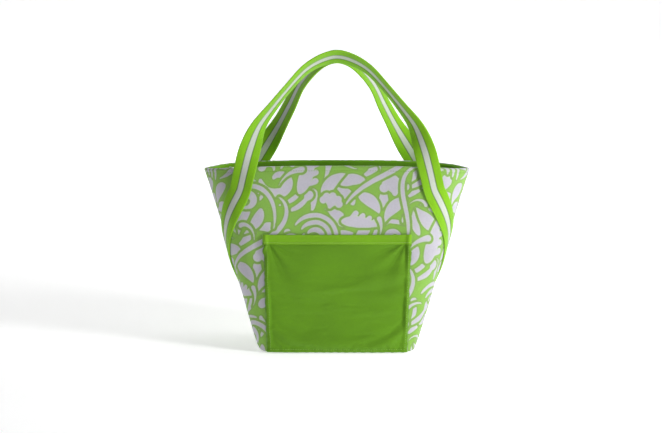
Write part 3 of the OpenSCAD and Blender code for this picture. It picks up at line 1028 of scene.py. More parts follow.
def base_slab(inset, low, high, dome=0.0, rings=12, wave=0.0):
    """A closed plate that fills the base outline, by rings that shrink to the middle.

    The edge is rounded over its thickness; dome lifts the middle, with the square of the way in."""
    edge = base_outline(inset)
    shares = np.concatenate([[1.0], np.linspace(0.985, 0.02, rings)])
    top, bottom = [], []
    thick = high - low
    for k, s in enumerate(shares):
        ring = edge * s
        soft = 0.30 * thick if k == 0 else 0.0
        rise = dome * (1 - s * s) + wave * np.sin(ring[:, 0] * 90) * np.sin(ring[:, 1] * 110) * (1 - s)
        top.append(np.column_stack([ring, np.full(len(ring), high - soft) + rise]))
        bottom.append(np.column_stack([ring, np.full(len(ring), low + soft)]))
    return capped(np.stack([*top[::-1], *bottom]), [[0, 0, high + dome], [0, 0, low]])


def build_base():
    """Outer base cloth, the stiff board, base foam and base lining, one above the other."""
    plate = base_slab(BASE_CLOTH_IN, 0.0, 0.0010)
    cloth = add_piece(
        "base_cloth", plate, MATERIALS["base"], nodes=["base_panel"], uv=plate[0][:, :2]
    )
    plate = base_slab(BASE_BOARD_IN, 0.0012, 0.0032)
    add_piece("base_stiffener", plate, MATERIALS["board"], nodes=["base_board"])
    plate = base_slab(BASE_BOARD_IN, 0.0034, 0.0083, wave=0.0001)
    foam = add_piece("base_foam_pad", plate, MATERIALS["foam"], nodes=["base_foam"])
    plate = base_slab(BASE_FOIL_IN, 0.0085, 0.0092, dome=0.0006, wave=0.0005, rings=30)
    foil = add_piece(
        "base_foil", plate, MATERIALS["foil"], nodes=["base_lining"], uv=plate[0][:, :2]
    )


# ---------------------------------------------------------------- foam, lining and facing


def wall_slab(side, out, thick, low, drop, cols=101, rows=60, crinkle=0.0):
    """A wall layer of the bag: a grid on the surface at one offset, from low to drop below the rim.

    The inner face lies thick further in; crinkle adds short creases as crossed sines."""
    share = np.linspace(-1, 1, cols) * 0.998
    rim = rim_height(share, side)
    t = np.linspace(0, 1, rows)[:, None]
    z = low + t * (rim[None, :] - drop - low)
    spread = np.broadcast_to(share, z.shape)
    outer = between_layers(spread, z, np.full(z.shape, out), side)
    inner = between_layers(spread, z, np.full(z.shape, out - thick), side)
    u = spread * seam_length(z)
    if crinkle:
        creases = np.sin(u * 240 + 5 * np.sin(z * 31)) * np.sin(z * 210 + 4 * np.sin(u * 27))
        fade = np.clip((1 - np.abs(spread)) / 0.05, 0, 1) * np.sin(np.pi * t) ** 0.3
        inner = inner - skin_normal(spread, z, side) * (crinkle * creases * fade)[..., None]
    return outer, inner, np.stack([u, z], -1)


def build_walls(shape):
    """Foam pads, foil lining and the lime facing inside the rim, front and back."""
    for side, word in SIDES:
        outer, inner, _ = wall_slab(side, -0.0030, 0.0030, 0.0088, HEM_DROP)
        pad = add_piece(
            f"{word}_foam_pad", slab(outer, inner), MATERIALS["foam"], nodes=[f"{word}_foam"]
        )
        outer, inner, flat = wall_slab(side, -0.0064, 0.0007, 0.0098, 0.0262, 141, 90, 0.00035)
        foil = add_piece(
            f"{word}_foil_wall", slab(outer, inner), MATERIALS["foil"],
            nodes=[f"{word}_lining"], uv=twice(flat),
        )
        wide = round(2 * float(seam_length(0.2)), 3)
        build_facing(side, word, shape)


def build_facing(side, word, shape):
    """The lime band inside the rim: it starts under the rolled edge and runs 25 mm down the inside."""
    cols = 201
    share = np.linspace(-1, 1, cols) * 0.9985
    rim = rim_height(share, side)
    angle = np.radians(np.linspace(100, 180, 8))[:, None]
    over = rim[None, :] - ROLL + (ROLL - 0.0004) * np.sin(angle)
    out = -ROLL + (ROLL - 0.0004) * np.cos(angle) + 0 * share
    down = np.linspace(0.0045, 0.0255, 15)[:, None]
    z = np.concatenate([over, rim[None, :] - down])
    sag = 0.00025 * np.sin(share * 40)[None, :] * np.sin(np.linspace(0, np.pi, 15))[:, None]
    slide = np.linspace(0, 1, 15)[:, None] * 0.0006
    out = np.concatenate([out, -2 * ROLL + 0.0004 - slide + sag])
    spread = np.broadcast_to(share, z.shape)
    face = between_layers(spread, z, out, side)
    normals = grid_normals(face)
    normals = normals * -np.sign(normals[-4, cols // 2, 1] * side)
    run = arc_lengths(face)
    flat = np.stack([spread * seam_length(HEIGHT), run], -1)
    facing = add_piece(
        f"{word}_rim_band", slab(face, face - normals * 0.0006), MATERIALS["facing"],
        nodes=[f"{word}_rim_facing"], uv=twice(flat),
    )
    lines = [(face[row, 3:-3], normals[row, 3:-3]) for row in (9, -2)]
    thread = sew(f"{word}_rim_band_stitching", lines, shape, "green_thread")
    wide = float(2 * seam_length(HEIGHT))


# ---------------------------------------------------------------- pocket

SETTLE_FRAMES = 18
SETTLE_CAP = 0.008
TAPE_THICK = 0.0005
TAPE_STITCH_DROP = 0.0106


def pocket_half(z):
    """Half of the pocket's width: 93 mm at its foot, 98 mm at its mouth."""
    return between(0.093, 0.098, z / POCKET_TOP)


def pocket_stand(across, z):
    """How far the pocket stands off the shell: slack that grows to the mouth and closes at the sides."""
    return 0.00035 + 0.0115 * (1 - np.abs(across) ** 8) * (1 - (1 - z / POCKET_TOP) ** 10)


def front_reach(x, z):
    """Distance of the plain front from the middle plane at x, from the outline's formula solved for y."""
    level = np.clip(np.abs(x) / half_width(z), 0, 1)
    return half_depth(z) * (1 - level ** (2 / round_x(z))) ** (round_y(z) / 2)


def pocket_start(across, z):
    """The pocket before its cloth settles: on the shell at its sides and foot, slack between."""
    x = across * pocket_half(z)
    return np.stack([x, -front_reach(x, z) - 0.0012 - 0.78 * pocket_stand(across, z), z], -1)


def cubic_axis(grid, places, axis):
    """Samples a grid along one axis with a Catmull-Rom curve through its points."""
    grid = np.moveaxis(grid, axis, 0)
    n = len(grid)
    at = np.clip(places * (n - 1), 0, n - 1.000001)
    i = at.astype(int)
    t = (at - i).reshape(-1, *([1] * (grid.ndim - 1)))
    before = np.concatenate([2 * grid[:1] - grid[1:2], grid, 2 * grid[-1:] - grid[-2:-1]])
    p0, p1, p2 = before[i], before[i + 1], before[i + 2]
    p3 = before[np.minimum(i + 3, n + 1)]
    curve = 2 * p1 + (p2 - p0) * t
    curve = curve + (2 * p0 - 5 * p1 + 4 * p2 - p3) * t**2 + (3 * p1 - p0 - 3 * p2 + p3) * t**3
    return np.moveaxis(0.5 * curve, 0, axis)


def rehearsal_grid(name, grid):
    """A plain mesh object of a grid of points, for the simulation only."""
    mesh = bpy.data.meshes.new(name)
    mesh.from_pydata(grid.reshape(-1, 3).tolist(), [], grid_faces(*grid.shape[:2]).tolist())
    made = bpy.data.objects.new(name, mesh)
    bpy.context.scene.collection.objects.link(made)
    return made


def settle_pocket(start, shape):
    """Cloth simulation of the pocket: sides and foot pinned, gravity on, the shell in its way.

    The grid is slightly fuller than the gap it spans, so it slumps and pulls from its top corners."""
    rows, cols = start.shape[:2]
    cloth = rehearsal_grid("pocket_rehearsal", start)
    pins = cloth.vertex_groups.new(name="sewn")
    index = np.arange(rows * cols).reshape(rows, cols)
    sewn = np.concatenate([index[:, 0], index[:, -1], index[0]])
    pins.add([int(k) for k in np.unique(sewn)], 1.0, "REPLACE")
    wall = on_cloth(*np.meshgrid(np.linspace(-0.75, 0.75, 60), np.linspace(0.002, 0.175, 40)))
    body = rehearsal_grid("shell_rehearsal", wall)
    body.modifiers.new("Collision", "COLLISION")
    body.collision.thickness_outer = 0.0012
    body.collision.use_culling = False
    modifier = cloth.modifiers.new("Cloth", "CLOTH")
    settings = modifier.settings
    settings.vertex_group_mass = "sewn"
    settings.quality = 6
    settings.mass = 0.3
    settings.tension_stiffness = 60
    settings.compression_stiffness = 60
    settings.shear_stiffness = 30
    settings.bending_stiffness = shape.pocket_stiffness
    settings.use_dynamic_mesh = False
    settings.shrink_min = -0.004
    settings.effector_weights.gravity = 0.35
    modifier.collision_settings.use_collision = True
    modifier.collision_settings.distance_min = 0.001
    modifier.collision_settings.use_self_collision = False
    for frame_number in range(1, SETTLE_FRAMES + 1):
        bpy.context.scene.frame_set(frame_number)
    result = cloth.evaluated_get(bpy.context.evaluated_depsgraph_get())
    settled = np.zeros(rows * cols * 3, np.float32)
    result.data.vertices.foreach_get("co", settled)
    settled = settled.reshape(rows, cols, 3).astype(float)
    bpy.context.scene.frame_set(1)
    for rehearsal in (cloth, body):
        data = rehearsal.data
        bpy.data.objects.remove(rehearsal)
        bpy.data.meshes.remove(data)
    moved = settled - start
    size = np.linalg.norm(moved, axis=-1, keepdims=True)
    settled = start + moved * np.minimum(1.0, SETTLE_CAP / np.maximum(size, 1e-9))
    place = pinned_at(settled[..., 0], np.clip(settled[..., 2], 0, HEIGHT))
    wall = on_cloth(place, np.clip(settled[..., 2], 0, HEIGHT))[..., 1] - 0.0015
    settled[..., 1] = np.minimum(settled[..., 1], wall)
    return settled


def pocket_surface(shape, rows=41, cols=49):
    """The settled pocket as a coarse grid, from its foot to its mouth."""
    z = np.linspace(0.0012, POCKET_TOP - 0.0006, rows)[:, None]
    across = np.linspace(-1, 1, cols)[None, :]
    across, z = np.broadcast_arrays(across, z)
    start = pocket_start(across, z)
    place = pinned_at(start[..., 0], z)
    start[..., 1] = np.minimum(start[..., 1], on_cloth(place, z)[..., 1] - 0.0012)
    return settle_pocket(start, shape)


def fold_lift(edge, turn=0.0060):
    """Height of a folded edge over a plain cloth: two layers up to the fold's inner end, then a slope."""
    step = np.clip((turn - edge) / 0.0012, 0, 1)
    dip = -0.00045 * np.exp(-(((edge - 0.0035) / 0.0007) ** 2))
    return 0.00090 * step * step * (3 - 2 * step) + dip


def pocket_relief(u, v):
    """Heights that sewing and weight give the pocket's cloth at u across and v up.

    Folded edges stand up, short puckers run into the side and foot seams, the foot's right corner is
    bunched, and rays of folds fade away from the two ends of the mouth."""
    side_edge = pocket_half(v) - np.abs(u)
    lift = fold_lift(side_edge) + 0.4 * fold_lift(v, 0.004)
    lift += np.exp(-side_edge / 0.009) * 0.00035 * np.sin(2 * np.pi * v / 0.0105 + 2 * np.sin(v * 60))
    lift += np.exp(-v / 0.008) * 0.00035 * np.sin(2 * np.pi * u / 0.0118 + 2 * np.sin(u * 47))
    corner = np.exp(-((u - 0.086) ** 2) / 0.00022 - (v / 0.012) ** 2)
    lift += 0.0011 * corner * (0.5 + 0.5 * np.sin(2 * np.pi * (u + 0.6 * v) / 0.0065))
    for sign, strength in ((-1, 1.0), (1, 0.8)):
        over, down = 0.090 - sign * u, 0.150 - v
        away = np.hypot(over, down)
        rays = np.sin(np.arctan2(down, over) * 10 + 0.8 * sign)
        lift += strength * 0.0022 * rays * np.exp(-away / 0.045) * (1 - np.exp(-away / 0.010))
    return lift


def build_pocket(shape, rows=128, cols=150):
    """Pocket panel with folded, stitched sides, and the tape that binds its mouth."""
    tall, wide = np.linspace(0, 1, rows), np.linspace(0, 1, cols)
    fine = cubic_axis(cubic_axis(pocket_surface(shape), tall, 0), wide, 1)
    normals = grid_normals(fine)
    normals = normals * -np.sign(normals[rows // 2, cols // 2, 1])
    u = (wide * 2 - 1)[None, :] * pocket_half(fine[..., 2])
    v = np.broadcast_to((tall * POCKET_TOP)[:, None], u.shape)
    face = fine + normals * pocket_relief(u, v)[..., None]
    back = fine - normals * 0.0006
    below = v[:, 0] < 0.1490
    flat = np.stack([u, v], -1)[below]
    panel = add_piece(
        "pocket_cloth", slab(face[below], back[below]), MATERIALS["pocket"],
        nodes=["pocket_panel"], uv=twice(flat),
    )
    lines = []
    upright = slice(2, int(rows * 0.93))
    for sign in (-1, 1):
        column = cols // 2 + int(sign * (cols // 2 - 1) * (1 - 0.0035 / 0.095))
        lines.append((face[upright, column], normals[upright, column]))
    lines.append((face[3, 3:-3], normals[3, 3:-3]))
    sewing = sew("pocket_stitching", lines, shape, "pocket_thread", thick=0.0007)
    build_binding(fine, normals, shape)


def build_binding(fine, normals, shape):
    """The bright tape over the pocket's mouth: a fold of front, rounded top and back along its edge.

    Each column of the settled pocket gives the tape its line; the tape stands 1.2 mm proud of it in
    front, turns over the edge in a half circle and comes down behind. The inner face is 0.5 mm in."""
    turn = np.linspace(0, np.pi, 9)
    rounded = 0.0011 - 0.0011 * np.sin(turn)
    drop = np.concatenate([np.linspace(0.0130, 0.0014, 17), rounded, np.linspace(0.0014, 0.0126, 9)])
    proud = np.concatenate([np.full(17, 0.0012), 0.0001 + 0.0011 * np.cos(turn), np.full(9, -0.0010)])
    tuck = TAPE_THICK * np.sin(np.clip(1 - drop / 0.0011, 0, 1) * np.pi / 2)
    inner_drop = np.where(drop < 0.0012, drop + tuck, drop)
    inner_proud = np.clip(proud - TAPE_THICK * np.clip(proud / 0.0009, -1, 1), -0.0009, 0.0009)
    end = np.linspace(-1, 1, fine.shape[1])[None, :] * pocket_half(0.153)
    front = (proud > 0.001)[:, None] * 1.0
    from_stitch = drop[:, None] - TAPE_STITCH_DROP
    pucker = 0.00014 * np.sin(2 * np.pi * end / 0.0034) * np.exp(-((from_stitch / 0.0014) ** 2)) * front
    dent = -0.00030 * np.exp(-((from_stitch / 0.0008) ** 2)) * front
    grids, ups = [], []
    for down, out, extra in ((drop, proud, pucker + dent), (inner_drop, inner_proud, 0 * pucker)):
        share = np.clip(1 - down / POCKET_TOP, 0, 1)
        across = unit(cubic_axis(normals, share, 0))
        grid = cubic_axis(fine, share, 0) + across * (out[:, None] + extra)[..., None]
        grid[..., 0] *= 1 + 0.0005 / pocket_half(0.15)
        grids.append(grid)
        ups.append(across)
    run = np.concatenate([[0], np.cumsum(np.hypot(np.diff(drop), np.diff(proud)))])[:, None]
    flat = np.stack(np.broadcast_arrays(end, run), -1)
    tape = add_piece(
        "pocket_mouth_tape", slab(*grids), MATERIALS["binding"],
        nodes=["pocket_binding"], uv=twice(flat),
    )
    up = ups[0][3, 2:-2]
    line = (grids[0][3, 2:-2] + up * 0.0001, up)
    sewing = sew("pocket_mouth_stitching", [line], shape, "binding_thread", thick=0.0008)


# ---------------------------------------------------------------- webbing handles

FRONT_ROUTE = [
    (1.0, 0.0, -19),
    (0.945, 0.18, -8),
    (0.895, 0.32, 18),
    (0.81, 0.48, 50),
    (0.67, 0.62, 64),
    (0.5, 0.77, 68),
    (0.33, 0.9, 64),
    (0.16, 0.972, 58),
    (0.0, 1.0, 56),
]
BACK_ROUTE = [
    (1.0, 0.0, -19),
    (0.81, 0.23, -3),
    (0.63, 0.443, 42),
    (0.5, 0.62, 54),
    (0.38, 0.79, 62),
    (0.19, 0.945, 60),
    (0.0, 1.0, 56),
]
FRONT_RISE = 0.177
BACK_RISE = 0.176
CROWN_Y = 0.014
LOOP_FOOT_Z = TACK_Z + 0.0005
TAIL_HEAD_Z = TACK_Z - 0.001


def strap_profile():
    """Half heights across the webbing: round edges, raised green bands, a furrow and a flat stripe."""
    across = np.array([-15, -14.8, -14.2, -12.5, -9.5, -6.5, -5.0, -4.3, -3.9, -2.0])
    height = np.array([0.35, 0.85, 1.12, 1.22, 1.25, 1.23, 1.14, 0.86, 0.98, 1.02])
    across = np.concatenate([across, [0.0], -across[::-1]]) * 0.001
    height = np.concatenate([height, [1.03], height[::-1]]) * 0.001
    return across, height


def loop_rows(route, rise, side, spacing=0.0020):
    """Centres and directions across the strap along a handle's loop, from the right tack to the left.

    The route's shares give x, height and twist; y goes from the tack to the crown with the rise. The
    direction across turns from outwards to forwards by the twist, about the way along."""
    tack_y = float(front_reach(np.array(TACK_X), np.array(TACK_Z))) + STRAP_SEAT + STRAP_THICK
    x, share, turn = np.array(route, float).T
    keys = np.stack([x * TACK_X, between(tack_y, CROWN_Y, share), LOOP_FOOT_Z + share * rise, turn], -1)
    keys = np.concatenate([keys, keys[-2::-1] * np.array([-1, 1, 1, 1])])
    even = resample(cubic_axis(keys, np.linspace(0, 1, 900), 0), spacing)
    centre = even[:, :3] * np.array([1, side, 1])
    along = unit(np.gradient(centre, axis=0))
    twist = np.radians(even[:, 3])
    level = np.array([0.0, -side, 0.0])
    outward = unit(np.cross(np.broadcast_to(level, along.shape), along))
    outward = outward * np.sign(outward[0, 0])
    forward = unit(np.cross(outward, along))
    forward = forward * np.where(forward[:, 1:2] * side < 0, -1.0, 1.0)
    away = outward * np.cos(twist)[:, None] + forward * np.sin(twist)[:, None]
    return centre, away


def tail_rows(side, right, across, count=58):
    """Points of a sewn-down tail, from the tack to its foot on the side seam.

    The tail is straight in flat cloth: its distance from the middle grows by the lean as it goes
    down. Each line along the strap stops where it meets the side seam."""
    tack_share = pinned_at(np.array(TACK_X), np.array(TACK_Z))
    tack_arc = float(tack_share * seam_length(TACK_Z))
    lean = math.atan((float(seam_length(TAIL_FOOT_Z)) - tack_arc) / (TACK_Z - TAIL_FOOT_Z))
    w = across if right else -across

    def flat_place(s):
        """Distance along the cloth and height of each line at s down the tail."""
        u = tack_arc + s * math.sin(lean) + w * math.cos(lean)
        return u, TAIL_HEAD_Z - s * math.cos(lean) + w * math.sin(lean)

    low, high = np.full(across.shape, 0.02), np.full(across.shape, 0.20)
    for _ in range(30):
        middle = (low + high) / 2
        u, z = flat_place(middle)
        inside = u < seam_length(z) - 0.0012
        low, high = np.where(inside, middle, low), np.where(inside, high, middle)
    s = np.linspace(0, 1, count)[:, None] * low[None, :]
    u, z = flat_place(s)
    place = u / seam_length(z) * (1 if right else -1)
    return on_cloth(place, z, STRAP_SEAT + STRAP_THICK / 2, side), s


def strap_sheet(route, rise, side):
    """The middle surface of one whole strap: right tail, loop and left tail, and its length along.

    The loop, and the rows near each join, are averaged with their neighbours by a bell curve."""
    across, height = strap_profile()
    centre, away = loop_rows(route, rise, side)
    loop = centre[:, None] + away[:, None] * across[None, :, None]
    right, s_right = tail_rows(side, True, across)
    left, s_left = tail_rows(side, False, -across)
    sheet = np.concatenate([right[:0:-1], loop, left[1:]])
    loop_run = arc_lengths(centre)
    run = np.concatenate([-s_right[:0:-1], loop_run[:, None] + 0 * across, loop_run[-1] + s_left[1:]])
    joins = (len(right) - 1, len(right) - 1 + len(loop))
    kernel = np.exp(-(np.arange(-4, 5) ** 2) / 6.0)
    kernel = kernel / kernel.sum()
    padded = np.concatenate([sheet[:1].repeat(4, 0), sheet, sheet[-1:].repeat(4, 0)])
    soft = sum(k * padded[i : i + len(sheet)] for i, k in enumerate(kernel))
    row = np.arange(len(sheet))
    past = np.maximum(0, np.maximum(joins[0] - row, row - joins[1]))
    near = np.exp(-((past / 5.0) ** 2))
    sheet = between(sheet, soft, near[:, None, None])
    return sheet, run, across, height, joins


def build_strap(route, rise, side, word, shape):
    """One handle as a single length of webbing, with its stitching, bending at the two tacks."""
    sheet, run, across, height, joins = strap_sheet(route, rise, side)
    normals = grid_normals(sheet)
    normals = normals * np.sign(normals[3, len(across) // 2, 1] * side)
    top = sheet + normals * height[None, :, None]
    under = sheet - normals * height[None, :, None]
    ring = np.concatenate([top, under[:, ::-1]], axis=1)
    lengths = np.concatenate([run, run[:, ::-1]], axis=1)
    w = np.broadcast_to(np.concatenate([across, across[::-1]]), lengths.shape)
    ends = [[0, run.min()], [0, run.max()]]
    strap = add_piece(
        f"{word}_handle_webbing", capped(ring, ring[[0, -1]].mean(1)), MATERIALS["webbing"],
        body=None, nodes=[f"{word}_handle_strap", f"{word}_left_strap_tail", f"{word}_right_strap_tail"],
        uv=np.concatenate([np.stack([w, lengths], -1).reshape(-1, 2), ends]),
        values={"across": np.concatenate([w.ravel(), [0, 0]])},
    )
    raised = top + normals * 0.0001
    rows = len(top)
    parts = []
    for place in (-0.0128, 0.0128, -0.0060, 0.0060):
        column = int(np.argmin(np.abs(across - place)))
        parts += [(slice(2, joins[0] - 1), column), (slice(joins[1] + 2, rows - 2), column)]
    for row in (joins[0] - 3, joins[0] - 9, joins[1] + 3, joins[1] + 9):
        parts.append((row, slice(2, -2)))
    lines = [(raised[part], normals[part]) for part in parts]
    sewing = sew(f"{word}_handle_stitching", lines, shape, "green_thread", None, thick=0.0005)
    for piece in (strap, sewing):
        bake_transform(piece)


def build_straps(shape):
    """Both handles."""
    build_strap(FRONT_ROUTE, FRONT_RISE, FRONT, "front", shape)
    build_strap(BACK_ROUTE, BACK_RISE, BACK, "back", shape)


# ---------------------------------------------------------------- zipped closure

FLAP_END = 0.1278
COVER_LOW, COVER_TOP = 0.2375, 0.2385
TAPE_LOW, TAPE_TOP = 0.2366, 0.2371
COIL_Z = 0.23700
COIL_Y = 0.00155
SLOT_HALF = 0.0081


def flat_cloth(name, half, y0, y1, low, high, key, node, body, wave=0.0003):
    """A level piece of cloth as a closed slab: a grid in x and y whose faces ripple together.

    The ripple is crossed sines times a fall-off to the edges; the edges are rounded over by 0.3 mm."""
    x, y = np.meshgrid(np.linspace(-half, half, 129), np.linspace(y0, y1, 25))
    edge = np.minimum(half - np.abs(x), np.minimum(np.abs(y - y0), np.abs(y - y1)))
    fade = np.clip(edge / 0.006, 0, 1)
    lift = wave * fade * np.sin(x * 95 + 2 * np.sin(y * 160)) * np.cos(y * 130 + x * 20)
    soft = 0.0003 * np.clip(1 - edge / 0.0004, 0, 1)
    upper = np.stack([x, y, high - soft + lift], -1)
    under = np.stack([x, y, low + soft * 0.3 + lift], -1)
    uv = twice(upper[..., :2])
    return add_piece(name, slab(upper, under), MATERIALS[key], body, [node], uv=uv), upper


def coil(name, x0, x1, side, body, nodes=(), pitch=0.0016):
    """One side of a nylon coil: a flattened helix along X whose loops reach the zip's middle line."""
    turns = (x1 - x0) / pitch
    t = np.linspace(0, turns * 2 * np.pi, int(turns * 10) + 1)
    x = x0 + (x1 - x0) * t / t[-1]
    y = side * (COIL_Y + 0.00085 * np.cos(t))
    centre = np.stack([x, y, COIL_Z + 0.00048 * np.sin(t)], -1)
    along = unit(np.gradient(centre, axis=0))
    inward = unit(np.stack([0 * t, -side * np.cos(t), -np.sin(t) * 0.6], -1))
    across = unit(np.cross(along, inward))
    angle = np.arange(6) * np.pi / 3
    profile = np.stack([np.cos(angle), np.sin(angle)], -1) * 0.00024
    bar = tube(centre, across, np.cross(across, along), profile)
    return add_piece(name, bar, MATERIALS["coil"], body, nodes)


def build_flap(side, word, shape):
    """One half of the mouth's cover: cloth flap, its foil lining, zip tape and coil, on one body."""
    body = f"{word}_flap"
    flap, top = flat_cloth(
        f"{word}_mouth_flap", FLAP_END, side * 0.0378, side * 0.0082, COVER_LOW, COVER_TOP,
        "facing", f"{word}_closure_flap", body,
    )
    foil, _ = flat_cloth(
        f"{word}_mouth_flap_foil", FLAP_END - 0.001, side * 0.0373, side * 0.0152, TAPE_LOW, TAPE_TOP,
        "foil", f"{word}_flap_lining", body,
    )
    tape, _ = flat_cloth(
        f"{word}_tape", FLAP_END + 0.0001, side * 0.0139, side * 0.0024, TAPE_LOW, TAPE_TOP,
        "tape", f"{word}_zip_tape", body, wave=0.0,
    )
    teeth = coil(f"{word}_coil", -FLAP_END, FLAP_END, side, body, [f"{word}_zip_coil"])
    lines = [(top[row, 2:-2], np.broadcast_to(UP, top[row, 2:-2].shape)) for row in (-3, 2)]
    sewing = sew(f"{word}_flap_stitching", lines, shape, "green_thread", body)


def level_slab(x, y, low, high):
    """A closed slab between two heights over a grid of x and y."""
    return slab(np.stack([x, y, high + 0 * x], -1), np.stack([x, y, low + 0 * x], -1))


def build_end(sign, word):
    """The fixed cloth in one corner of the mouth, slotted for the zip, with its zip end and coil.

    Rows run out from the flaps' ends to the curve of the inner rim; each row's half depth follows
    that curve, and the slot takes 8 mm each way from the middle."""
    stations = np.concatenate([np.linspace(0.1292, 0.1590, 34), np.linspace(0.1594, 0.1735, 24)])
    dense = np.linspace(0.3, 1, 900)
    rim = on_skin(dense, np.full(dense.shape, 0.238), -3 * LAYER_STEP, BACK)
    reach = np.interp(stations, rim[:, 0], rim[:, 1])
    reach = np.maximum(np.minimum(reach - 0.0006, 0.0375), 0.0012)
    inner = np.where(stations < 0.1593, SLOT_HALF, 0.0)
    span = reach - inner
    share = np.linspace(0, 1, 15)[None, :]
    x = sign * np.broadcast_to(stations[:, None], (len(stations), 15))
    wave = 0.00025 * np.sin(x * 120) * np.sin(np.pi * share)
    ys = [half * (inner[:, None] + span[:, None] * share) for half in (-1, 1)]
    cloth = add_piece(
        f"{word}_mouth_end", joined([level_slab(x, y, COVER_LOW + wave, COVER_TOP + wave) for y in ys]),
        MATERIALS["facing"], nodes=[f"{word}_closure_end"],
        uv=np.concatenate([twice(np.stack([x, y], -1)) for y in ys]),
    )
    grids = [
        np.meshgrid(sign * np.linspace(0.1290, 0.1590, 25), half * np.linspace(0.0024, 0.0078, 8))
        for half in (-1, 1)
    ]
    tape = add_piece(
        f"{word}_tape_end", joined([level_slab(x, y, TAPE_LOW, TAPE_TOP) for x, y in grids]),
        MATERIALS["tape"], nodes=[f"{word}_zip_end"],
        uv=np.concatenate([twice(np.stack(grid, -1)) for grid in grids]),
    )
    ends = sorted((sign * 0.1291, sign * 0.1559))
    for side, name in SIDES:
        coil(f"{word}_{name}_coil_end", *ends, side, "root")


def build_closure(shape):
    """Flaps, mouth ends and the metal parts of the zip."""
    for side, word in SIDES:
        build_flap(side, word, shape)
    build_end(-1, "left")
    build_end(1, "right")
    for node in ("left_zip_stop", "right_zip_stop", "zip_slider", "zip_pull"):
        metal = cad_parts[node]
        metal.data.materials.clear()
        metal.data.materials.append(MATERIALS["metal"])


# ---------------------------------------------------------------- studio


PAPER_BEND = 1.2
PAPER_BACK = 3.0
WHITE = (1.0, 1.0, 1.0, 1.0)
CAMERA_AT = (-0.0082, -2.4, 0.470)
CAMERA_AIM = (-0.0082, 0.0, 0.1745)
BAG_MIDDLE = (0.0, 0.0, 0.18)


def hang(name, data, place, aim):
    """A light or camera at its place, with its -Z towards the aim."""
    holder = bpy.data.objects.new(name, data)
    holder.location = place
    holder.rotation_euler = (Vector(aim) - Vector(place)).to_track_quat("-Z", "Y").to_euler()
    bpy.context.scene.collection.objects.link(holder)
    return holder


def build_paper(shape, colours):
    """Floor and backdrop in one sweep: a level run, a quarter circle and a wall."""
    bend = np.linspace(0, np.pi / 2, 24)[1:]
    z = np.concatenate([[0.0, 0.0], PAPER_BEND * (1 - np.cos(bend)), [6.0]]) - 0.0002
    y = PAPER_BACK + np.concatenate([[-6.0 - PAPER_BACK, 0.0], PAPER_BEND * np.sin(bend), [PAPER_BEND]])
    upper = np.stack(np.broadcast_arrays(np.array([-8.0, 8.0]), y[:, None], z[:, None]), -1)
    finish = Finish("Studio paper")
    brightness, _ = finish.tone(2.0, 0.01)
    material = finish.done(
        Base_Color=finish.shaded(linear(colours["floor"]), brightness),
        Roughness=0.9,
        Emission_Color=WHITE,
        Emission_Strength=shape.paper_glow,
    )
    add_piece("studio_sweep", slab(upper, upper - 0.02 * UP), material, body=None)


def build_studio(shape, colours):
    """The paper, four soft lights, a bright surround and the camera."""
    build_paper(shape, colours)
    scene = bpy.context.scene
    scene.world = scene.world or bpy.data.worlds.new("Studio")
    scene.world.use_nodes = True
    surround = scene.world.node_tree.nodes.get("Background")
    surround.inputs["Color"].default_value = WHITE
    surround.inputs["Strength"].default_value = shape.surround
    lamps = (
        ("key", (1.25, -0.85, 0.75), 0.40, BAG_MIDDLE),
        ("fill", (-1.6, -2.6, 1.2), 2.0, BAG_MIDDLE),
        ("top", (0.5, 0.1, 1.6), 0.9, BAG_MIDDLE),
        ("backdrop", (0.0, 2.0, 2.4), 1.6, (0.0, 4.6, 0.6)),
    )
    for name, place, size, aim in lamps:
        lamp = bpy.data.lights.new(name, "AREA")
        lamp.shape = "DISK"
        lamp.size = size
        lamp.energy = getattr(shape, name)
        hang(name, lamp, place, aim)
    camera = bpy.data.cameras.new("camera")
    camera.sensor_width = 36.0
    camera.lens = shape.lens
    camera.clip_start = 0.05
    camera.clip_end = 50.0
    scene.camera = hang("camera", camera, CAMERA_AT, CAMERA_AIM)
    scene.view_settings.view_transform = "Standard"
    scene.view_settings.look = "None"


# ---------------------------------------------------------------- add-on


def number_field(name, description, default, **more):
    """A number with its name and what it is for."""
    return bpy.props.FloatProperty(name=name, description=description, default=default, **more)


def colour_field(name, description, default):
    """A screen colour from 0 to 255."""
    return bpy.props.FloatVectorProperty(
        name=name, description=description, default=default, size=3, min=0, max=255
    )


class CoolerBagShape(bpy.types.PropertyGroup):
    """Sizes and lights that a user may change."""

    stitch_pitch: number_field(
        "Stitch pitch", "Length of one stitch and its gap", 0.0034,
        unit="LENGTH", subtype="DISTANCE", precision=5,
    )
    pocket_stiffness: number_field(
        "Pocket stiffness", "Bending stiffness of the pocket's cloth", 9.0, min=0.01
    )
    lens: number_field("Lens", "Focal length", 96.5, unit="CAMERA")
    surround: number_field("Surround", "Strength of the pale surround", 0.10)
    paper_glow: number_field("Paper glow", "Light that shows through the paper", 0.48)
    key: number_field("Key light", "Power of the key light", 15.5, unit="POWER")
    fill: number_field("Fill light", "Power of the fill light", 1.0, unit="POWER")
    top: number_field("Top light", "Power of the top light", 4.8, unit="POWER")
    backdrop: number_field("Backdrop light", "Power of the light on the paper", 14.0, unit="POWER")


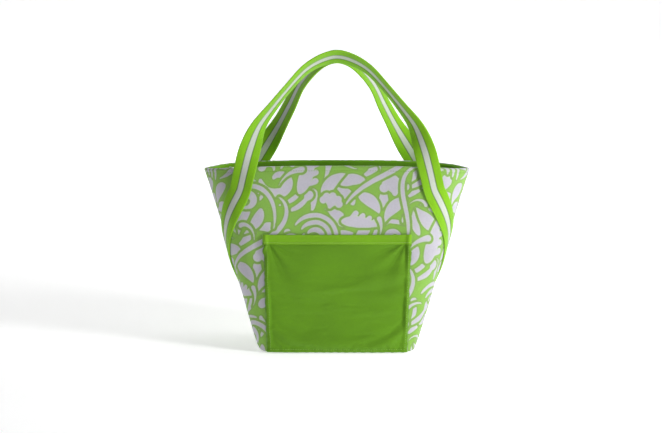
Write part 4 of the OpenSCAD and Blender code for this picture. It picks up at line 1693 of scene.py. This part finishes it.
class CoolerBagColours(bpy.types.PropertyGroup):
    """Colours that a user may change."""

    ground: colour_field("Print ground", "Lime between the printed shapes", (146, 196, 86))
    motif: colour_field("Print shapes", "Pale printed shapes", (206, 203, 214))
    motif_edge: colour_field("Shape edge", "Greenish edge inside a printed shape", (206, 218, 190))
    outline: colour_field("Print outline", "Thin line round the shapes", (138, 160, 104))
    pocket: colour_field("Pocket", "Patch pocket and base", (103, 156, 22))
    binding: colour_field("Binding", "Tape on the pocket's mouth", (128, 186, 28))
    facing: colour_field("Facing", "Band inside the rim and the mouth's cover", (118, 176, 30))
    webbing: colour_field("Webbing", "Green bands of the handles", (138, 204, 14))
    # A lighter green mixed in along both edges of the webbing.
    webbing_edge: colour_field("Webbing edge", "Lighter edge of the handles", (158, 216, 60))
    # Painted shade: the dark colour laid in the furrows beside the stripe.
    webbing_furrow: colour_field("Webbing furrow shade", "Dark line beside the stripe", (104, 132, 70))
    stripe: colour_field("Stripe", "Stripe along the handles", (212, 220, 208))
    foil: colour_field("Foil", "Heat-sealed lining", (206, 208, 212))
    foam: colour_field("Foam", "Insulation", (232, 230, 222))
    board: colour_field("Board", "Base stiffener", (150, 144, 134))
    board_fleck: colour_field("Board fleck", "Fibres in the stiffener", (118, 110, 100))
    tape: colour_field("Zip tape", "Woven tape of the zip", (96, 150, 34))
    coil: colour_field("Zip coil", "Nylon teeth", (112, 170, 40))
    metal: colour_field("Metal", "Slider, pull and stops", (196, 198, 200))
    green_thread: colour_field("Green thread", "Green stitching", (122, 178, 40))
    pocket_thread: colour_field("Pocket thread", "Stitching of the pocket", (150, 200, 74))
    binding_thread: colour_field("Binding thread", "Stitching of the mouth tape", (178, 222, 96))
    floor: colour_field("Floor", "Pale floor and backdrop", (250, 250, 250))


def palette(context):
    """The panel's colours as a dictionary."""
    group = context.scene.cooler_bag_colours
    return {key: tuple(getattr(group, key)) for key in CoolerBagColours.__annotations__}


class COOLERBAG_OT_materials(bpy.types.Operator):
    """Makes the cloths, webbing, foil, foam, board, nylon and metal"""

    bl_idname = "coolerbag.materials"
    bl_label = "Materials"

    def execute(self, context):
        build_materials(palette(context))
        return {"FINISHED"}


class COOLERBAG_OT_shell(bpy.types.Operator):
    """Makes the printed front and back panels with their rolled, stitched rims"""

    bl_idname = "coolerbag.shell"
    bl_label = "Shell"

    def execute(self, context):
        build_shell(context.scene.cooler_bag_shape)
        return {"FINISHED"}


class COOLERBAG_OT_base(bpy.types.Operator):
    """Makes the base cloth, stiffener, foam and foil"""

    bl_idname = "coolerbag.base"
    bl_label = "Base"

    def execute(self, context):
        build_base()
        return {"FINISHED"}


class COOLERBAG_OT_walls(bpy.types.Operator):
    """Makes the foam pads, foil walls and the band inside the rim"""

    bl_idname = "coolerbag.walls"
    bl_label = "Foam, foil and rim band"

    def execute(self, context):
        build_walls(context.scene.cooler_bag_shape)
        return {"FINISHED"}


class COOLERBAG_OT_pocket(bpy.types.Operator):
    """Makes the patch pocket and the tape on its mouth"""

    bl_idname = "coolerbag.pocket"
    bl_label = "Pocket"

    def execute(self, context):
        build_pocket(context.scene.cooler_bag_shape)
        return {"FINISHED"}


class COOLERBAG_OT_straps(bpy.types.Operator):
    """Makes the two webbing handles with their sewn-down tails"""

    bl_idname = "coolerbag.straps"
    bl_label = "Handles"

    def execute(self, context):
        build_straps(context.scene.cooler_bag_shape)
        return {"FINISHED"}


class COOLERBAG_OT_closure(bpy.types.Operator):
    """Makes the mouth's flaps and ends and the zip"""

    bl_idname = "coolerbag.closure"
    bl_label = "Closure"

    def execute(self, context):
        build_closure(context.scene.cooler_bag_shape)
        return {"FINISHED"}


class COOLERBAG_OT_studio(bpy.types.Operator):
    """Makes the floor, lights and camera"""

    bl_idname = "coolerbag.studio"
    bl_label = "Studio"

    def execute(self, context):
        build_studio(context.scene.cooler_bag_shape, palette(context))
        return {"FINISHED"}


OPERATORS = (
    COOLERBAG_OT_materials,
    COOLERBAG_OT_shell,
    COOLERBAG_OT_base,
    COOLERBAG_OT_walls,
    COOLERBAG_OT_pocket,
    COOLERBAG_OT_straps,
    COOLERBAG_OT_closure,
    COOLERBAG_OT_studio,
)


class COOLERBAG_PT_panel(bpy.types.Panel):
    """Lists the bag's steps, sizes and colours"""

    bl_idname = "COOLERBAG_PT_panel"
    bl_label = "Cooler bag"
    bl_space_type = "VIEW_3D"
    bl_region_type = "UI"
    bl_category = "Cooler bag"

    def draw(self, context):
        for step in OPERATORS:
            self.layout.operator(step.bl_idname)
        for group in (context.scene.cooler_bag_shape, context.scene.cooler_bag_colours):
            box = self.layout.box()
            for key in type(group).__annotations__:
                box.prop(group, key)


CLASSES = (CoolerBagShape, CoolerBagColours, *OPERATORS, COOLERBAG_PT_panel)


def register():
    """Registers the classes and puts the settings on the scene."""
    for one in CLASSES:
        bpy.utils.register_class(one)
    bpy.types.Scene.cooler_bag_shape = bpy.props.PointerProperty(type=CoolerBagShape)
    bpy.types.Scene.cooler_bag_colours = bpy.props.PointerProperty(type=CoolerBagColours)


def unregister():
    """Takes the settings off the scene and unregisters the classes."""
    del bpy.types.Scene.cooler_bag_colours
    del bpy.types.Scene.cooler_bag_shape
    for one in reversed(CLASSES):
        bpy.utils.unregister_class(one)


def main():
    """Builds the whole bag in order."""
    register()
    bpy.ops.coolerbag.materials()
    bpy.ops.coolerbag.shell()
    bpy.ops.coolerbag.base()
    bpy.ops.coolerbag.walls()
    bpy.ops.coolerbag.pocket()
    bpy.ops.coolerbag.straps()
    bpy.ops.coolerbag.closure()
    bpy.ops.coolerbag.studio()


if __name__ == "__main__":
    main()
